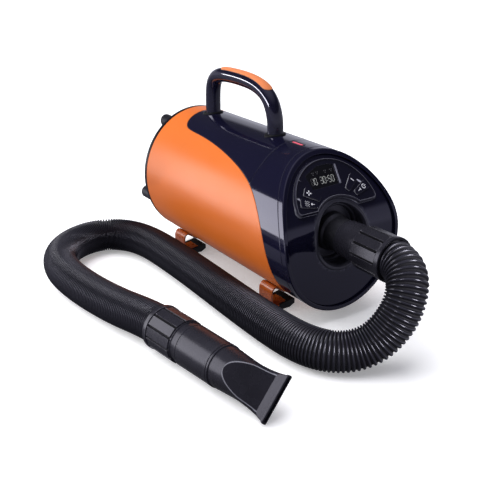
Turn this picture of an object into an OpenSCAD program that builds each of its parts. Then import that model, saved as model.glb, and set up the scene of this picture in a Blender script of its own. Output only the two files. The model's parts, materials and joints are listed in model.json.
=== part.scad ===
// Pet dryer: an oval blower with a carry handle, a ribbed hose and a flat nozzle.
// The body's axis runs along Y, the front faces -Y, and the floor is at z = 0.

/* [Body] */
// Width of the oval body
body_w = 181; // [170:1:195]
// Height of the oval body
body_h = 193; // [180:1:205]
// Length of the body between its rims
body_l = 352; // [340:1:375]
// Height of the body's underside above the floor
foot_h = 15.5; // [14:0.5:20]
// Wall of the outer shells
wall = 3; // [2:0.5:4]
// Gap between neighbouring shells
seam = 0.3; // [0.2:0.05:0.5]
// Distance of the front housing's rear edge behind the front rim
cap_l = 100; // [92:1:106]

/* [Front] */
// How far the upper face leans back for each unit of height
face_lean = 0.79; // [0.7:0.01:0.85]
// Height above the axis where the face starts to lean
face_bend_h = 18; // [14:1:22]
// Height over which the face bends
face_bend_soft = 14; // [10:1:18]
// Depth of the face behind the front rim
face_inset = 3.5; // [3:0.5:8]
// Thickness of the face plate
face_t = 3; // [2:0.5:4]
// Width of the trim ring round the face
rim_w = 5.5; // [5:0.5:9]
// Depth of the trim ring
rim_d = 9; // [8:0.5:12]
// Radius of the recess round the outlet
recess_r = 37; // [34:0.5:39]
// Distance of the recess floor behind the front rim
recess_d = 30; // [28:1:36]

/* [Outlet and hose] */
// Outer radius of the air spigot
spigot_r = 21.5; // [20:0.5:22]
// Length of the spigot ahead of the front rim
spigot_l = 32; // [28:1:36]
// Wall of the spigot
spigot_wall = 2.5; // [2:0.5:3.5]
// Outer radius of the hose over its ribs
hose_r = 24; // [22:0.5:24]
// Depth of the ribs
rib_h = 2.5; // [1.5:0.5:3]
// Radius of the hose's bore
hose_bore = 17; // [15:0.5:18]
// Number of ribs along the hose
ribs = 190; // [80:1:200]
// Depth to which the hose sits in each cuff
hose_seat = 46; // [40:1:46]
// Length of a cuff's grip
grip_l = 49; // [48:1:56]
// Length of a cuff's smooth collar
collar_l = 32; // [28:1:34]
// Number of grip pads round a cuff
pads = 12; // [8:1:12]
// Length of the connector sleeve
sleeve_l = 56; // [50:1:66]
// Length of the flat nozzle
nozzle_l = 84.5; // [76:0.5:92]
// Width of the nozzle's mouth
mouth_w = 54.5; // [50:0.5:58]
// Outer height of the nozzle's mouth
mouth_h = 6.4; // [6:0.2:9]
// Turn of the flat nozzle about the hose's axis
nozzle_roll = 49; // [0:1:60]

/* [Handle] */
// Width of the handle's bar
bar_w = 22; // [18:0.5:24]
// Height of the handle's bar
bar_h = 20; // [17:0.5:21]
// Width of the grip insert
insert_w = 14; // [10:0.5:16]
// How far the insert stands proud of the bar
insert_proud = 1; // [0.5:0.25:1.5]
// Thickness of the pads under the handle's feet
gasket_t = 2; // [1.5:0.5:4]
// Half length of the pads across the body
gasket_reach = 17; // [14:1:24]

/* [Control panel] */
// How far the panel stands proud of the face
bezel_h = 3; // [2:0.25:4]
// Depth of the panel's tray
bezel_d = 9; // [8.5:0.25:11]
// Radius of the panel's lower corners
panel_corner = 7; // [4:0.5:9]
// Length of a key
key_l = 23; // [20:0.5:25]
// Width of a key at its outer end
key_w_out = 11.5; // [10:0.25:12]
// Width of a key at its inner end
key_w_in = 7; // [6:0.25:7.5]
// How far a key stands proud of the panel
key_h = 1.2; // [0.9:0.1:1.8]
// Travel of a key
key_travel = 0.8; // [0.4:0.1:0.8]
// Gap round a key
key_gap = 0.3; // [0.2:0.05:0.4]

/* [Feet] */
// Length of a foot bracket along the body
foot_l = 28; // [22:1:32]
// Thickness of the bracket's steel strip
foot_t = 2.5; // [2:0.25:3]
// Distance of the brackets' outer walls from the middle
foot_x = 63; // [60:0.5:66]
// Distance of the front feet's middle behind the front rim
foot_from_front = 80; // [72:1:90]
// Distance of the rear feet's middle ahead of the rear rim
foot_from_rear = 50; // [42:1:60]
// Radius of the foot screws
foot_screw_r = 2; // [1.5:0.25:2.5]

/* [Rear] */
// Radius of the four rear posts
post_r = 9.5; // [8:0.5:10]
// Length of the rear posts
post_l = 32; // [26:1:36]
// Thickness of the rear cover
cover_t = 5.5; // [3:0.5:7]
// Radius of the filter cap
cap_r = 58; // [54:0.5:59]
// Width of a slot in the filter cap
slot_w = 5; // [4:0.5:5.5]
// Thickness of the filter foam
foam_t = 10; // [6:1:12]

/* [Blower and heater] */
// Radius of the motor's frame
motor_r = 44; // [40:1:48]
// Radius of the fan casing
fan_r = 60; // [56:1:64]
// Length of the motor's frame
motor_l = 74; // [70:1:80]
// Radius of the motor's shaft
shaft_r = 4; // [3:0.5:5]
// Radial clearance of the shaft in its bearings
shaft_gap = 0.05; // [0.02:0.01:0.1]
// Outer radius of the heater tube
tube_r = 32; // [31:0.5:34]
// Number of heater windings
windings = 8; // [5:1:9]

/* [Hidden] */
$fn = 64;

orange = [0.93, 0.45, 0.14];
navy = [0.07, 0.08, 0.17];
black = [0.09, 0.09, 0.1];
charcoal = [0.2, 0.2, 0.23];
steel = [0.7, 0.71, 0.73];
copper = [0.72, 0.42, 0.2];

eps = 0.01;
axis_h = foot_h + body_h / 2;
front_y = -body_l / 2;
rear_y = body_l / 2;
cap_seam = body_l / 2 - cap_l;
foot_front = body_l / 2 - foot_from_front;
foot_rear = body_l / 2 - foot_from_rear;
centre_y = (spigot_l - post_l) / 2;
side_reach = body_w + 20;
profile_z = body_h / 2 + 10;
profile_steps = concat([-profile_z], [for (k = [-24 : 6 : body_h / 2]) k], [profile_z]);

// ---- Placing and drawing ----

// Puts a piece that is drawn round the body's axis into the part's frame.
module placed() {
    translate([0, centre_y, axis_h]) children();
}

// Stands a Y-Z outline up and extrudes it along X, centred.
module along_x(width) {
    rotate([90, 0, 90]) linear_extrude(height = width, center = true) children();
}

// Extrudes an X-Z outline along Y from y0 to y1.
module along_y(y0, y1) {
    translate([0, y1, 0]) rotate([90, 0, 0]) linear_extrude(height = y1 - y0) children();
}

// A cylinder along Y from y0 to y1.
module rod_y(r, y0, y1) {
    translate([0, y1, 0]) rotate([90, 0, 0]) cylinder(r = r, h = y1 - y0);
}

// A ring along Y from y0 to y1.
module ring_y(r_out, r_in, y0, y1) {
    difference() {
        rod_y(r_out, y0, y1);
        rod_y(r_in, y0 - 1, y1 + 1);
    }
}

// Turns a profile of [radius, y] points round the Y axis.
module turned(profile) {
    rotate([90, 0, 0]) rotate_extrude() polygon([for (p = profile) [p[0], -p[1]]]);
}

// A rectangle with round corners, centred.
module round_box(w, h, r) {
    square([w - 2 * r, h], center = true);
    square([w, h - 2 * r], center = true);
    for (x = [-1, 1], y = [-1, 1]) translate([x * (w / 2 - r), y * (h / 2 - r)]) circle(r = r);
}

// ---- Curves ----

// A point on a uniform cubic B-spline segment.
function spline_at(a, b, c, d, t) =
    ((1 - t) ^ 3 * a + (3 * t ^ 3 - 6 * t ^ 2 + 4) * b
    + (-3 * t ^ 3 + 3 * t ^ 2 + 3 * t + 1) * c + t ^ 3 * d) / 6;

// A smooth curve that starts and ends on the first and last control points.
function spline(p, steps) =
    let (n = len(p), q = concat([2 * p[0] - p[1]], p, [2 * p[n - 1] - p[n - 2]]))
    concat([for (i = [0 : n - 2], k = [0 : steps - 1])
        spline_at(q[i], q[i + 1], q[i + 2], q[i + 3], k / steps)], [p[n - 1]]);

// The unit normal of a flat path at point i, to the left of its direction.
function left_of(p, i) =
    let (a = p[max(i - 1, 0)], b = p[min(i + 1, len(p) - 1)], d = (b - a) / norm(b - a)) [-d[1], d[0]];

// A flat path moved sideways by a distance.
function beside(p, d) = [for (i = [0 : len(p) - 1]) p[i] + d * left_of(p, i)];

function reversed(p) = [for (i = [len(p) - 1 : -1 : 0]) p[i]];

// A strip of an even thickness along a flat path.
module strip(p, t) {
    polygon(concat(beside(p, t / 2), reversed(beside(p, -t / 2))));
}

// Running length of a path at each of its points.
function run_length(p) =
    [for (i = 0, s = 0; i < len(p); i = i + 1, s = i < len(p) ? s + norm(p[i] - p[i - 1]) : s) s];

// A path cut into equal steps.
function even_steps(p, n) =
    let (s = run_length(p), total = s[len(s) - 1],
        x = [for (i = [0 : len(p) - 1]) [s[i], p[i][0]]],
        y = [for (i = [0 : len(p) - 1]) [s[i], p[i][1]]],
        z = [for (i = [0 : len(p) - 1]) [s[i], p[i][2]]])
    [for (i = [0 : n]) let (at = total * i / n) [lookup(at, x), lookup(at, y), lookup(at, z)]];

function unit(v) = v / norm(v);

function heading(p, i) = unit(p[min(i + 1, len(p) - 1)] - p[max(i - 1, 0)]);

// A direction square to the path at each point, carried along it without twist.
function sideways(p, first) =
    [for (i = 0, v = unit(first - (first * heading(p, 0)) * heading(p, 0)); i < len(p); i = i + 1,
        v = i < len(p) ? unit(v - (v * heading(p, i)) * heading(p, i)) : v) v];

// One ring of points round a path point: a along v and b square to it.
function ring_points(c, d, v, a, b, sides) =
    let (w = cross(d, v))
    [for (k = [0 : sides - 1]) let (t = 360 * (k + 0.5) / sides) c + a * cos(t) * v + b * sin(t) * w];

// Triangles between rings of points, first to last, facing out, or in if flipped.
function skin(rings, sides, start, flip) =
    [for (i = [0 : rings - 2], k = [0 : sides - 1], half = [0, 1])
        let (a = start + i * sides + k, b = start + i * sides + (k + 1) % sides,
            t = half == 0 ? [a, b, b + sides] : [a, b + sides, a + sides])
        flip ? [t[2], t[1], t[0]] : t];

// ---- Body outlines ----

// The body's oval section, grown or shrunk by a distance.
module oval(grow) {
    polygon([for (i = [0 : 71]) [(body_w / 2 + grow) * cos(5 * i), (body_h / 2 + grow) * sin(5 * i)]]);
}

// How far an upright edge has bent back at a height, once it leans above z = bend.
function bent(z, lean, bend, soft) = lean * soft * ln(1 + exp((z - bend) / soft));

// Side view of the front rim, and of surfaces set back from it.
function face_line(inset) =
    [for (z = profile_steps) [front_y + inset + bent(z, face_lean, face_bend_h, face_bend_soft), z]];

// Where the front housing's rear edge lies at a height: it bends back near the top.
seam_lean = 0.6;
seam_bend = body_h / 2 - 15;
seam_soft = 6;

function seam_y(z) = bent(z, seam_lean, seam_bend, seam_soft) - cap_seam;

function seam_line(shift) = [for (z = profile_steps) [shift + seam_y(z), z]];

// Everything behind the front profile, as far back as y = back.
module behind_face(inset, back) {
    along_x(side_reach) polygon(concat(face_line(inset), [[back, profile_z], [back, -profile_z]]));
}

// A layer between two depths behind the front profile.
module face_layer(from, to) {
    along_x(side_reach) polygon(concat(face_line(from), reversed(face_line(to))));
}

// Side view of the edge between the orange shell and the dark covers, from the top rear,
// in shares of the body's half length and half height.
cover_front = -0.7727 * rear_y;
cover_points = [[0.7614, 0.9119], [0.6875, 0.8497], [0.5909, 0.8342], [0.3409, 0.8238],
    [0.0568, 0.7772], [-0.2273, 0.6943], [-0.4432, 0.5803], [-0.5909, 0.4041], [-0.6932, 0.1762],
    [-0.75, -0.0829], [-0.7727, -0.3316], [-0.7727, -0.6632]];
cover_edge = spline(concat([[0.88 * rear_y, profile_z + 2]],
    [for (p = cover_points) [p[0] * rear_y, p[1] * body_h / 2]], [[cover_front, -profile_z]]), 3);

// The part of the body that the dark covers fill.
module dark_region(grow) {
    along_x(side_reach) polygon(concat(beside(cover_edge, grow),
        [[front_y - 20, -profile_z], [front_y - 20, profile_z + 10], [0.88 * rear_y, profile_z + 10]]));
}

module shell_tube(back) {
    difference() {
        along_y(front_y - 1, back) oval(0);
        along_y(front_y - 2, back + 1) oval(-wall);
    }
}

shell_back = rear_y - cover_t;

// ---- Outer shells ----

foot_screw_x = 35;
foot_screw_z = body_h / 2 * sqrt(1 - (2 * foot_screw_x / body_w) ^ 2);
foot_slope = atan(body_h ^ 2 / body_w ^ 2 * foot_screw_x / foot_screw_z);

// The places of the four foot screws, square to the body's underside.
module at_foot_screws() {
    for (x = [-1, 1], y = [-foot_front, foot_rear])
        translate([x * foot_screw_x, y, -foot_screw_z]) rotate([0, -x * foot_slope, 0]) children();
}

module main_shell() {
    color(orange) placed() difference() {
        shell_tube(shell_back);
        dark_region(seam / 2);
        at_foot_screws() translate([0, 0, -10]) cylinder(r = foot_screw_r + 0.2, h = 20);
    }
}

handle_front_y = -0.162 * rear_y;
handle_rear_y = 0.702 * rear_y;
handle_screw_r = 2.5;

module at_handle_feet() {
    for (y = [handle_front_y, handle_rear_y]) translate([0, y, 0]) children();
}

indicator_l = 24;
indicator_w = 7;
indicator_x = -3;
indicator_y = seam_y(body_h / 2) - 1.5 - indicator_l / 2;

module top_cover() {
    color(navy) placed() difference() {
        intersection() {
            shell_tube(shell_back);
            dark_region(-seam / 2);
        }
        along_x(side_reach) polygon(concat(seam_line(seam / 2),
            [[front_y - 5, profile_z], [front_y - 5, -profile_z]]));
        at_handle_feet() cylinder(r = handle_screw_r + 0.3, h = body_h);
    }
}

module front_housing() {
    color(navy) placed() difference() {
        intersection() {
            shell_tube(shell_back);
            dark_region(-seam / 2);
            behind_face(rim_d + seam, rear_y);
            along_x(side_reach) polygon(concat(seam_line(-seam / 2),
                [[front_y - 5, profile_z], [front_y - 5, -profile_z]]));
        }
        translate([indicator_x, indicator_y, body_h / 2]) rotate([0, 0, 90])
            linear_extrude(height = 20, center = true)
                round_box(indicator_l + seam, indicator_w + seam, 3);
    }
}

module front_trim_ring() {
    color(black) placed() intersection() {
        difference() {
            along_y(front_y - 1, 0) oval(0);
            along_y(front_y - 2, 1) oval(-rim_w);
        }
        face_layer(0, rim_d);
    }
}

cup_wall = 3.5;
rebate_w = 2.2;
rebate_d = 1.5;
recess_y = front_y + recess_d;
spigot_flange_r = 28;

module face_plate() {
    color(navy) placed() difference() {
        union() {
            difference() {
                intersection() {
                    along_y(front_y, 0) oval(-rim_w - seam);
                    face_layer(face_inset, face_inset + face_t);
                }
                rod_y(recess_r + eps, front_y - 1, 0);
                on_panel() translate([0, 0, -10]) linear_extrude(height = 20) kidney(seam);
            }
            difference() {
                intersection() {
                    rod_y(recess_r + cup_wall, front_y - 1, recess_y + cup_wall);
                    behind_face(face_inset, 0);
                }
                rod_y(recess_r, front_y - 2, recess_y);
            }
        }
        rod_y(spigot_flange_r - 3, front_y - 1, 0);
        on_panel() translate([0, 0, -bezel_d - seam]) linear_extrude(height = bezel_d + 20) kidney(seam);
        difference() {
            rod_y(recess_r + rebate_w, front_y - 1, recess_y - 5);
            behind_face(face_inset + rebate_d, 0);
        }
    }
}

spigot_tip = front_y - spigot_l;

module outlet_spigot() {
    color(charcoal) placed() turned([
        [spigot_r - spigot_wall, spigot_tip], [spigot_r, spigot_tip],
        [spigot_r, recess_y - 12], [spigot_flange_r - 3.5, recess_y - 9],
        [spigot_flange_r - 3.5, recess_y + cup_wall + seam],
        [tube_r + 2, recess_y + cup_wall + seam], [tube_r + 2, recess_y + cup_wall + 3],
        [spigot_r - spigot_wall, recess_y + cup_wall + 3]]);
}

// ---- Control panel ----

panel_z = 60;
panel_tilt = 90 - atan(face_lean);
// Height at which the panel's flat plane meets the leaning face.
panel_y = front_y + face_inset + face_lean * (panel_z - face_bend_h);

// Puts children on the leaning face: Z out of it, Y up along it.
module on_panel() {
    translate([0, panel_y, panel_z]) rotate([panel_tilt, 0, 0]) children();
}

panel_r = 63;
panel_rise = 1.06;
panel_low = -34;
panel_mid = -34;
bay_r = 45;
bay_mid = -65;
corner_v = panel_low + panel_corner;
corner_u = sqrt((panel_r - panel_corner) ^ 2 - (corner_v - panel_mid) ^ 2);

// The panel's outline: a round top, round lower corners, and a bay round the outlet's recess.
module kidney(grow) {
    difference() {
        intersection() {
            translate([0, panel_mid]) scale([1, panel_rise]) circle(r = panel_r + grow, $fn = 128);
            translate([-80, panel_low - grow]) square([160, 80]);
        }
        translate([0, bay_mid]) circle(r = bay_r - grow, $fn = 128);
        for (side = [-1, 1])
            translate([side * (corner_u + 20), corner_v - 19.2]) square(40, center = true);
    }
    for (side = [-1, 1]) translate([side * corner_u, corner_v]) circle(r = panel_corner + grow);
}

// Each key's direction from the middle of the fan and its distance from there.
fan_centre = -34;
seat_fan = [144.5, 39.5];
seat_heat = [162.5, 43.5];
seat_minus = [42, 41];
seat_power = [22, 46];

module at_key(seat) {
    translate([0, fan_centre]) rotate(seat[0]) translate([seat[1], 0]) children();
}

module key_outline(grow) {
    polygon([[-key_l / 2 - grow, -key_w_in / 2 - grow], [key_l / 2 + grow, -key_w_out / 2 - grow],
        [key_l / 2 + grow, key_w_out / 2 + grow], [-key_l / 2 - grow, key_w_in / 2 + grow]]);
}

module all_keys() {
    for (seat = [seat_fan, seat_heat, seat_minus, seat_power]) at_key(seat) children();
}

module window_outline(grow) {
    polygon([[-27 - grow, -5 - grow], [13.5 + grow, -4 - grow], [15.5 + grow, 22 + grow], [7, 24 + grow],
        [-9, 23.5 + grow], [-31 - grow, 14 + grow]]);
}

top_t = 2.5;
lens_t = 1.5;
tray_wall = 2;
board_t = 1.6;
ledge = 1.5;

module panel_bezel() {
    color(black) placed() on_panel() difference() {
        translate([0, 0, -bezel_d]) linear_extrude(height = bezel_d + bezel_h) kidney(0);
        translate([0, 0, -bezel_d - 1]) linear_extrude(height = bezel_d + bezel_h - top_t + 1)
            kidney(-tray_wall);
        translate([0, 0, bezel_h - lens_t]) linear_extrude(height = 5) window_outline(0);
        translate([0, 0, -5]) linear_extrude(height = 15) window_outline(-ledge);
        all_keys() translate([0, 0, -5]) linear_extrude(height = 15) key_outline(key_gap);
    }
}

module display_window() {
    color([0.1, 0.1, 0.13]) placed() on_panel()
        translate([0, 0, bezel_h - lens_t + 0.05]) linear_extrude(height = lens_t - 0.05)
            window_outline(-0.1);
}

board_z = -bezel_d + board_t;

module control_board() {
    color([0.1, 0.35, 0.2]) placed() on_panel() {
        translate([0, 0, -bezel_d]) linear_extrude(height = board_t) kidney(-tray_wall - 0.2);
        all_keys() translate([-3, -3, board_z - eps]) cube([6, 6, 1.5 + eps]);
    }
}

module display_module() {
    color([0.75, 0.76, 0.78]) placed() on_panel()
        translate([0, 0, board_z]) linear_extrude(height = bezel_h - top_t - board_z - 0.3)
            window_outline(-3);
}

flange_w = 0.6;
flange_t = 1;
stem_w = 2.5;

// A key: its cap, the flange that keeps it in, and the stem over its switch.
module key(seat) {
    color(charcoal) placed() on_panel() at_key(seat) {
        under = bezel_h - top_t - 0.1;
        translate([0, 0, under - eps]) linear_extrude(height = top_t + 0.1 + key_h + eps) key_outline(0);
        translate([0, 0, under - flange_t]) linear_extrude(height = flange_t) key_outline(flange_w);
        stem_low = board_z + 1.5 + key_travel + 0.1;
        translate([0, 0, stem_low]) linear_extrude(height = under - stem_low)
            square(2 * stem_w, center = true);
    }
}

// ---- Handle ----

// Side view of the middle of the handle's bar, from its rear foot to its front foot,
// in shares of the body's half length and half height.
handle_points = [[0.6875, 1.4715], [0.6136, 1.5959], [0.4432, 1.6269], [0.2386, 1.6269],
    [0.0795, 1.6062], [-0.0568, 1.5233], [-0.1307, 1.3679]];
handle_line = spline(concat(
    [for (k = [0.89, 1.08, 1.285]) [handle_rear_y, k * body_h / 2]],
    [for (p = handle_points) [p[0] * rear_y, p[1] * body_h / 2]],
    [for (k = [1.18, 1.036, 0.89]) [handle_front_y, k * body_h / 2]]), 3);

// The bar, with its half width and half height grown by a distance.
module bar(grow) {
    path = [for (p = handle_line) [0, p[0], p[1]]];
    n = len(path);
    sides = 20;
    points = [for (i = [0 : n - 1]) each ring_points(path[i], heading(path, i), [1, 0, 0],
        bar_w / 2 + grow, bar_h / 2 + grow, sides)];
    polyhedron(points = points, faces = concat(skin(n, sides, 0, true),
        [[for (k = [0 : sides - 1]) k], [for (k = [sides - 1 : -1 : 0]) (n - 1) * sides + k]]));
}

insert_from = -0.06 * rear_y;
insert_to = 0.534 * rear_y;

// The block of space above the bar's middle that the grip insert fills.
module insert_space(grow) {
    top = [for (p = handle_line)
        if (p[0] > insert_from - 8 && p[0] < insert_to + 8 && p[1] > 1.25 * body_h / 2) p];
    intersection() {
        along_x(insert_w + 2 * grow) polygon(concat(beside(top, -2 + grow),
            [[insert_from - 40, 1.1 * body_h], [insert_to + 40, 1.1 * body_h]]));
        translate([0, 0, body_h / 2]) linear_extrude(height = body_h) union() {
            translate([-insert_w / 2 - grow, insert_from + insert_w / 2])
                square([insert_w + 2 * grow, insert_to - insert_from - insert_w]);
            for (y = [insert_from + insert_w / 2, insert_to - insert_w / 2])
                translate([0, y]) circle(r = insert_w / 2 + grow);
        }
    }
}

module handle() {
    color(navy) placed() difference() {
        bar(0);
        along_y(front_y, rear_y) oval(gasket_t);
        insert_space(0.1);
        at_handle_feet() cylinder(r = handle_screw_r, h = body_h / 2 + 30);
    }
}

module handle_grip() {
    color(orange) placed() intersection() {
        bar(insert_proud);
        insert_space(0);
    }
}

gasket_half = bar_h / 2 + 1;
gasket_arc = (gasket_reach ^ 2 + gasket_half ^ 2) / (2 * gasket_half);

// The lens-shaped pad under a handle foot.
module gasket(y) {
    color(black) placed() difference() {
        intersection() {
            translate([0, y, 0]) linear_extrude(height = body_h) intersection() {
                translate([0, gasket_half - gasket_arc]) circle(r = gasket_arc);
                translate([0, gasket_arc - gasket_half]) circle(r = gasket_arc);
            }
            along_y(front_y, rear_y) oval(gasket_t - 0.05);
        }
        along_y(front_y - 1, rear_y + 1) oval(0.05);
        at_handle_feet() cylinder(r = handle_screw_r + 0.3, h = body_h);
    }
}

module handle_screws() {
    color(steel) placed() at_handle_feet() {
        low = body_h / 2 - wall;
        translate([0, 0, low - 3]) cylinder(r = 5, h = 3 - 0.3);
        translate([0, 0, low - 0.3 - eps]) cylinder(r = handle_screw_r - 0.02, h = 26);
    }
}

// ---- Status light ----

module indicator_bezel() {
    color(black) placed() translate([indicator_x, indicator_y, body_h / 2]) rotate([0, 0, 90]) difference() {
        translate([0, 0, -6]) linear_extrude(height = 6.4) round_box(indicator_l, indicator_w, 3);
        translate([0, 0, -1]) linear_extrude(height = 5)
            round_box(indicator_l - 2, indicator_w - 2, 2);
    }
}

module indicator_lens() {
    color([0.9, 0.15, 0.25]) placed() translate([indicator_x, indicator_y, body_h / 2 - 1]) rotate([0, 0, 90])
        linear_extrude(height = 0.9) round_box(indicator_l - 2.2, indicator_w - 2.2, 2);
}

// ---- Feet ----

flange_in = 30;
lower_rise = 8;
boot_t = 3.5;

function under_body(x) = -(body_h / 2 + foot_t / 2 + 0.05) * sqrt(1 - (x / (body_w / 2 + foot_t / 2)) ^ 2);

// Section of a foot strip: along the body's underside, down its outer wall and back in.
foot_curve_x = foot_x - foot_t / 2;
foot_floor = -axis_h + boot_t + foot_t / 2;
foot_line = concat([for (x = [-24 : -4 : -48]) [x, under_body(x)]],
    [for (a = [110 : 14 : 180]) [-foot_curve_x + 9 + 9 * cos(a), under_body(-53) - 7 + 9 * sin(a)]],
    [for (a = [180 : 15 : 270 - lower_rise])
        [-foot_curve_x + 7 + 7 * cos(a), foot_floor + 7 + 7 * sin(a)]],
    [[-flange_in, foot_floor + (foot_curve_x - 7 - flange_in) * tan(lower_rise)]]);

module foot(side, y) {
    color(orange) placed() difference() {
        mirror([side > 0 ? 1 : 0, 0, 0]) along_y(y - foot_l / 2, y + foot_l / 2) strip(foot_line, foot_t);
        at_foot_screws() translate([0, 0, -10]) cylinder(r = foot_screw_r + 0.2, h = 20);
    }
}

boot_rim = 1.5;
boot_end = foot_floor + (foot_curve_x - 7 - flange_in) * tan(lower_rise);

// A rubber boot that holds the strip's inward end by its edges, flat on the floor.
module boot(side, y) {
    low = -axis_h;
    color(black) placed() mirror([side > 0 ? 1 : 0, 0, 0]) difference() {
        along_y(y - foot_l / 2 - boot_rim, y + foot_l / 2 + boot_rim) polygon([[-foot_curve_x + 9, low],
            [-flange_in - 4, low], [-flange_in + 4, low + 4], [-flange_in + 4, boot_end + 2],
            [-flange_in + 2, boot_end + 3.5], [-foot_curve_x + 12, foot_floor + foot_t / 2 + 2]]);
        along_y(y - foot_l / 2 - 0.05, y + foot_l / 2 + 0.05) strip(foot_line, foot_t + 0.1);
        along_y(y - foot_l / 2 + boot_rim, y + foot_l / 2 - boot_rim) polygon([[-foot_curve_x, foot_floor],
            [-flange_in - 7, boot_end], [-flange_in - 7, boot_end + 10], [-foot_curve_x, boot_end + 10]]);
    }
}

module foot_screws() {
    color(steel) placed() at_foot_screws() {
        translate([0, 0, -foot_t - 2.1 - 0.2]) cylinder(r = 3.8, h = 2.1);
        translate([0, 0, -foot_t - 0.2 - eps]) cylinder(r = foot_screw_r, h = foot_t + wall + 6);
    }
}

// ---- Rear ----

post_ring_r = body_w / 2 - 10.5;
post_angles = [25, -25, 115, -115];
skirt_t = 3;
skirt_l = 12;

module at_posts() {
    for (a = post_angles) rotate([0, a, 0]) translate([0, 0, post_ring_r]) children();
}

inlet_w = 28;
inlet_h = 20;
inlet_z = 20.5 - body_h / 2;

rear_screw_angles = [70, -70, 150, -150];
rear_screw_ring = body_w / 2 - 14.5;

module at_rear_screws() {
    for (a = rear_screw_angles) rotate([0, a, 0]) translate([0, 0, rear_screw_ring]) children();
}

module rear_cover() {
    color(black) placed() difference() {
        union() {
            along_y(shell_back, rear_y) oval(0);
            difference() {
                along_y(shell_back - skirt_l, shell_back + eps) oval(-wall - seam);
                along_y(shell_back - skirt_l - 1, shell_back + 1) oval(-wall - seam - skirt_t);
            }
            at_rear_screws() rod_y(5, shell_back - 14, shell_back + eps);
        }
        rod_y(cap_r + seam, rear_y - 30, rear_y + 1);
        translate([-inlet_w / 2, shell_back - 1, inlet_z - inlet_h / 2])
            cube([inlet_w, cover_t + 2, inlet_h]);
        at_rear_screws() rod_y(1.8, shell_back - 15, rear_y + 1);
        at_posts() rod_y(2.2, shell_back - 1, rear_y + 1);
    }
}

module rear_cover_screws() {
    color(steel) placed() at_rear_screws() {
        rod_y(1.78, shell_back - 12, rear_y + 0.1);
        rod_y(3.4, rear_y, rear_y + 2);
    }
}

module rear_posts() {
    color(black) placed() at_posts() turned([[0, rear_y + post_l], [post_r - 1.5, rear_y + post_l],
        [post_r, rear_y + post_l - 1.5], [post_r, rear_y], [2.15, rear_y], [2.15, shell_back - 4],
        [0, shell_back - 4]]);
}

cap_t = 3;
cap_rim_t = 3;
cap_depth = foam_t + cap_t;
rear_cap_front = rear_y + cap_t - cap_depth;

// The filter cap: a slotted face with a skirt that holds the foam.
module filter_cap() {
    color(charcoal) placed() difference() {
        union() {
            rod_y(cap_r, rear_y - 0.5, rear_y + cap_t);
            ring_y(cap_r, cap_r - cap_rim_t, rear_cap_front, rear_y);
        }
        intersection() {
            rod_y(cap_r - 6, rear_y - 1, rear_y + cap_t + 1);
            union() for (k = [-6 : 6]) for (side = [-1, 1])
                translate([side > 0 ? 2 : -cap_r - 2, rear_y - 2, k * 8 - slot_w / 2])
                    cube([cap_r, cap_t + 4, slot_w]);
        }
    }
}

module filter_foam() {
    color([0.25, 0.25, 0.27]) placed() rod_y(cap_r - cap_rim_t - 0.2, rear_cap_front, rear_y - 0.6);
}

module power_inlet() {
    color(black) placed() translate([0, 0, inlet_z]) {
        difference() {
            union() {
                translate([-inlet_w / 2 + 0.1, rear_y - 24, -inlet_h / 2 + 0.1])
                    cube([inlet_w - 0.2, 24, inlet_h - 0.2]);
                translate([-inlet_w / 2 - 1.5, rear_y, -inlet_h / 2 - 1.5])
                    cube([inlet_w + 3, 2, inlet_h + 3]);
            }
            translate([-inlet_w / 2 + 2, rear_y - 16, -inlet_h / 2 + 2])
                cube([inlet_w - 4, 20, inlet_h - 4]);
        }
        for (x = [-7, 0, 7])
            translate([x - 1, rear_y - 16 - eps, x == 0 ? 1 : -3]) cube([2, 13, 4]);
    }
}

// ---- Blower ----

motor_front = 4;
motor_back = motor_front + motor_l;
fan_l = 24;
fan_back = motor_back + fan_l;
eye_r = 24;
bulkhead_t = 3;
bulkhead_y = fan_back + 2;
lining = wall + seam;

module rear_bulkhead() {
    color(charcoal) placed() difference() {
        along_y(bulkhead_y, bulkhead_y + bulkhead_t) oval(-lining);
        rod_y(eye_r, bulkhead_y - 1, bulkhead_y + 5);
    }
}

module motor_ring() {
    color(black) placed() ring_y(fan_r - 4, eye_r + 6, fan_back, bulkhead_y);
}

module fan_casing() {
    color(steel) placed() difference() {
        rod_y(fan_r, motor_back, fan_back);
        rod_y(fan_r - 1.5, motor_back + 2, fan_back - 2);
        rod_y(eye_r, fan_back - 3, fan_back + 1);
        rod_y(13.2, motor_back - 1, motor_back + 3);
        for (a = [0 : 45 : 315]) rotate([0, a, 0]) translate([0, 0, 28])
            rod_y(6, motor_back - 1, motor_back + 3);
    }
}

module motor_frame() {
    color(steel) placed() difference() {
        rod_y(motor_r, motor_front, motor_back);
        rod_y(motor_r - 2, motor_front + 3, motor_back + 1);
        rod_y(11.05, motor_front - 1, motor_front + 8);
        for (a = [0 : 60 : 300]) rotate([0, a + 30, 0]) translate([0, 0, 27])
            rod_y(9, motor_front - 1, motor_front + 4);
        for (a = [0, 180]) rotate([0, a + 90, 0]) translate([-5.2, motor_front + 8, motor_r - 6])
            cube([10.4, 12.4, 10]);
    }
}

stack_from = motor_front + 26;
stack_to = motor_front + 58;
armature_r = 23;

module stator() {
    color(copper) placed() ring_y(motor_r - 2.1, armature_r + 1.2, stack_from, stack_to);
}

module rotor() {
    color(steel) placed() {
        rod_y(shaft_r, motor_front + 0.5, fan_back - 6);
        rod_y(armature_r, stack_from, stack_to);
        rod_y(11, motor_front + 9, motor_front + 20);
    }
}

blades = 9;
impeller_front = motor_back + 8;

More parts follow.
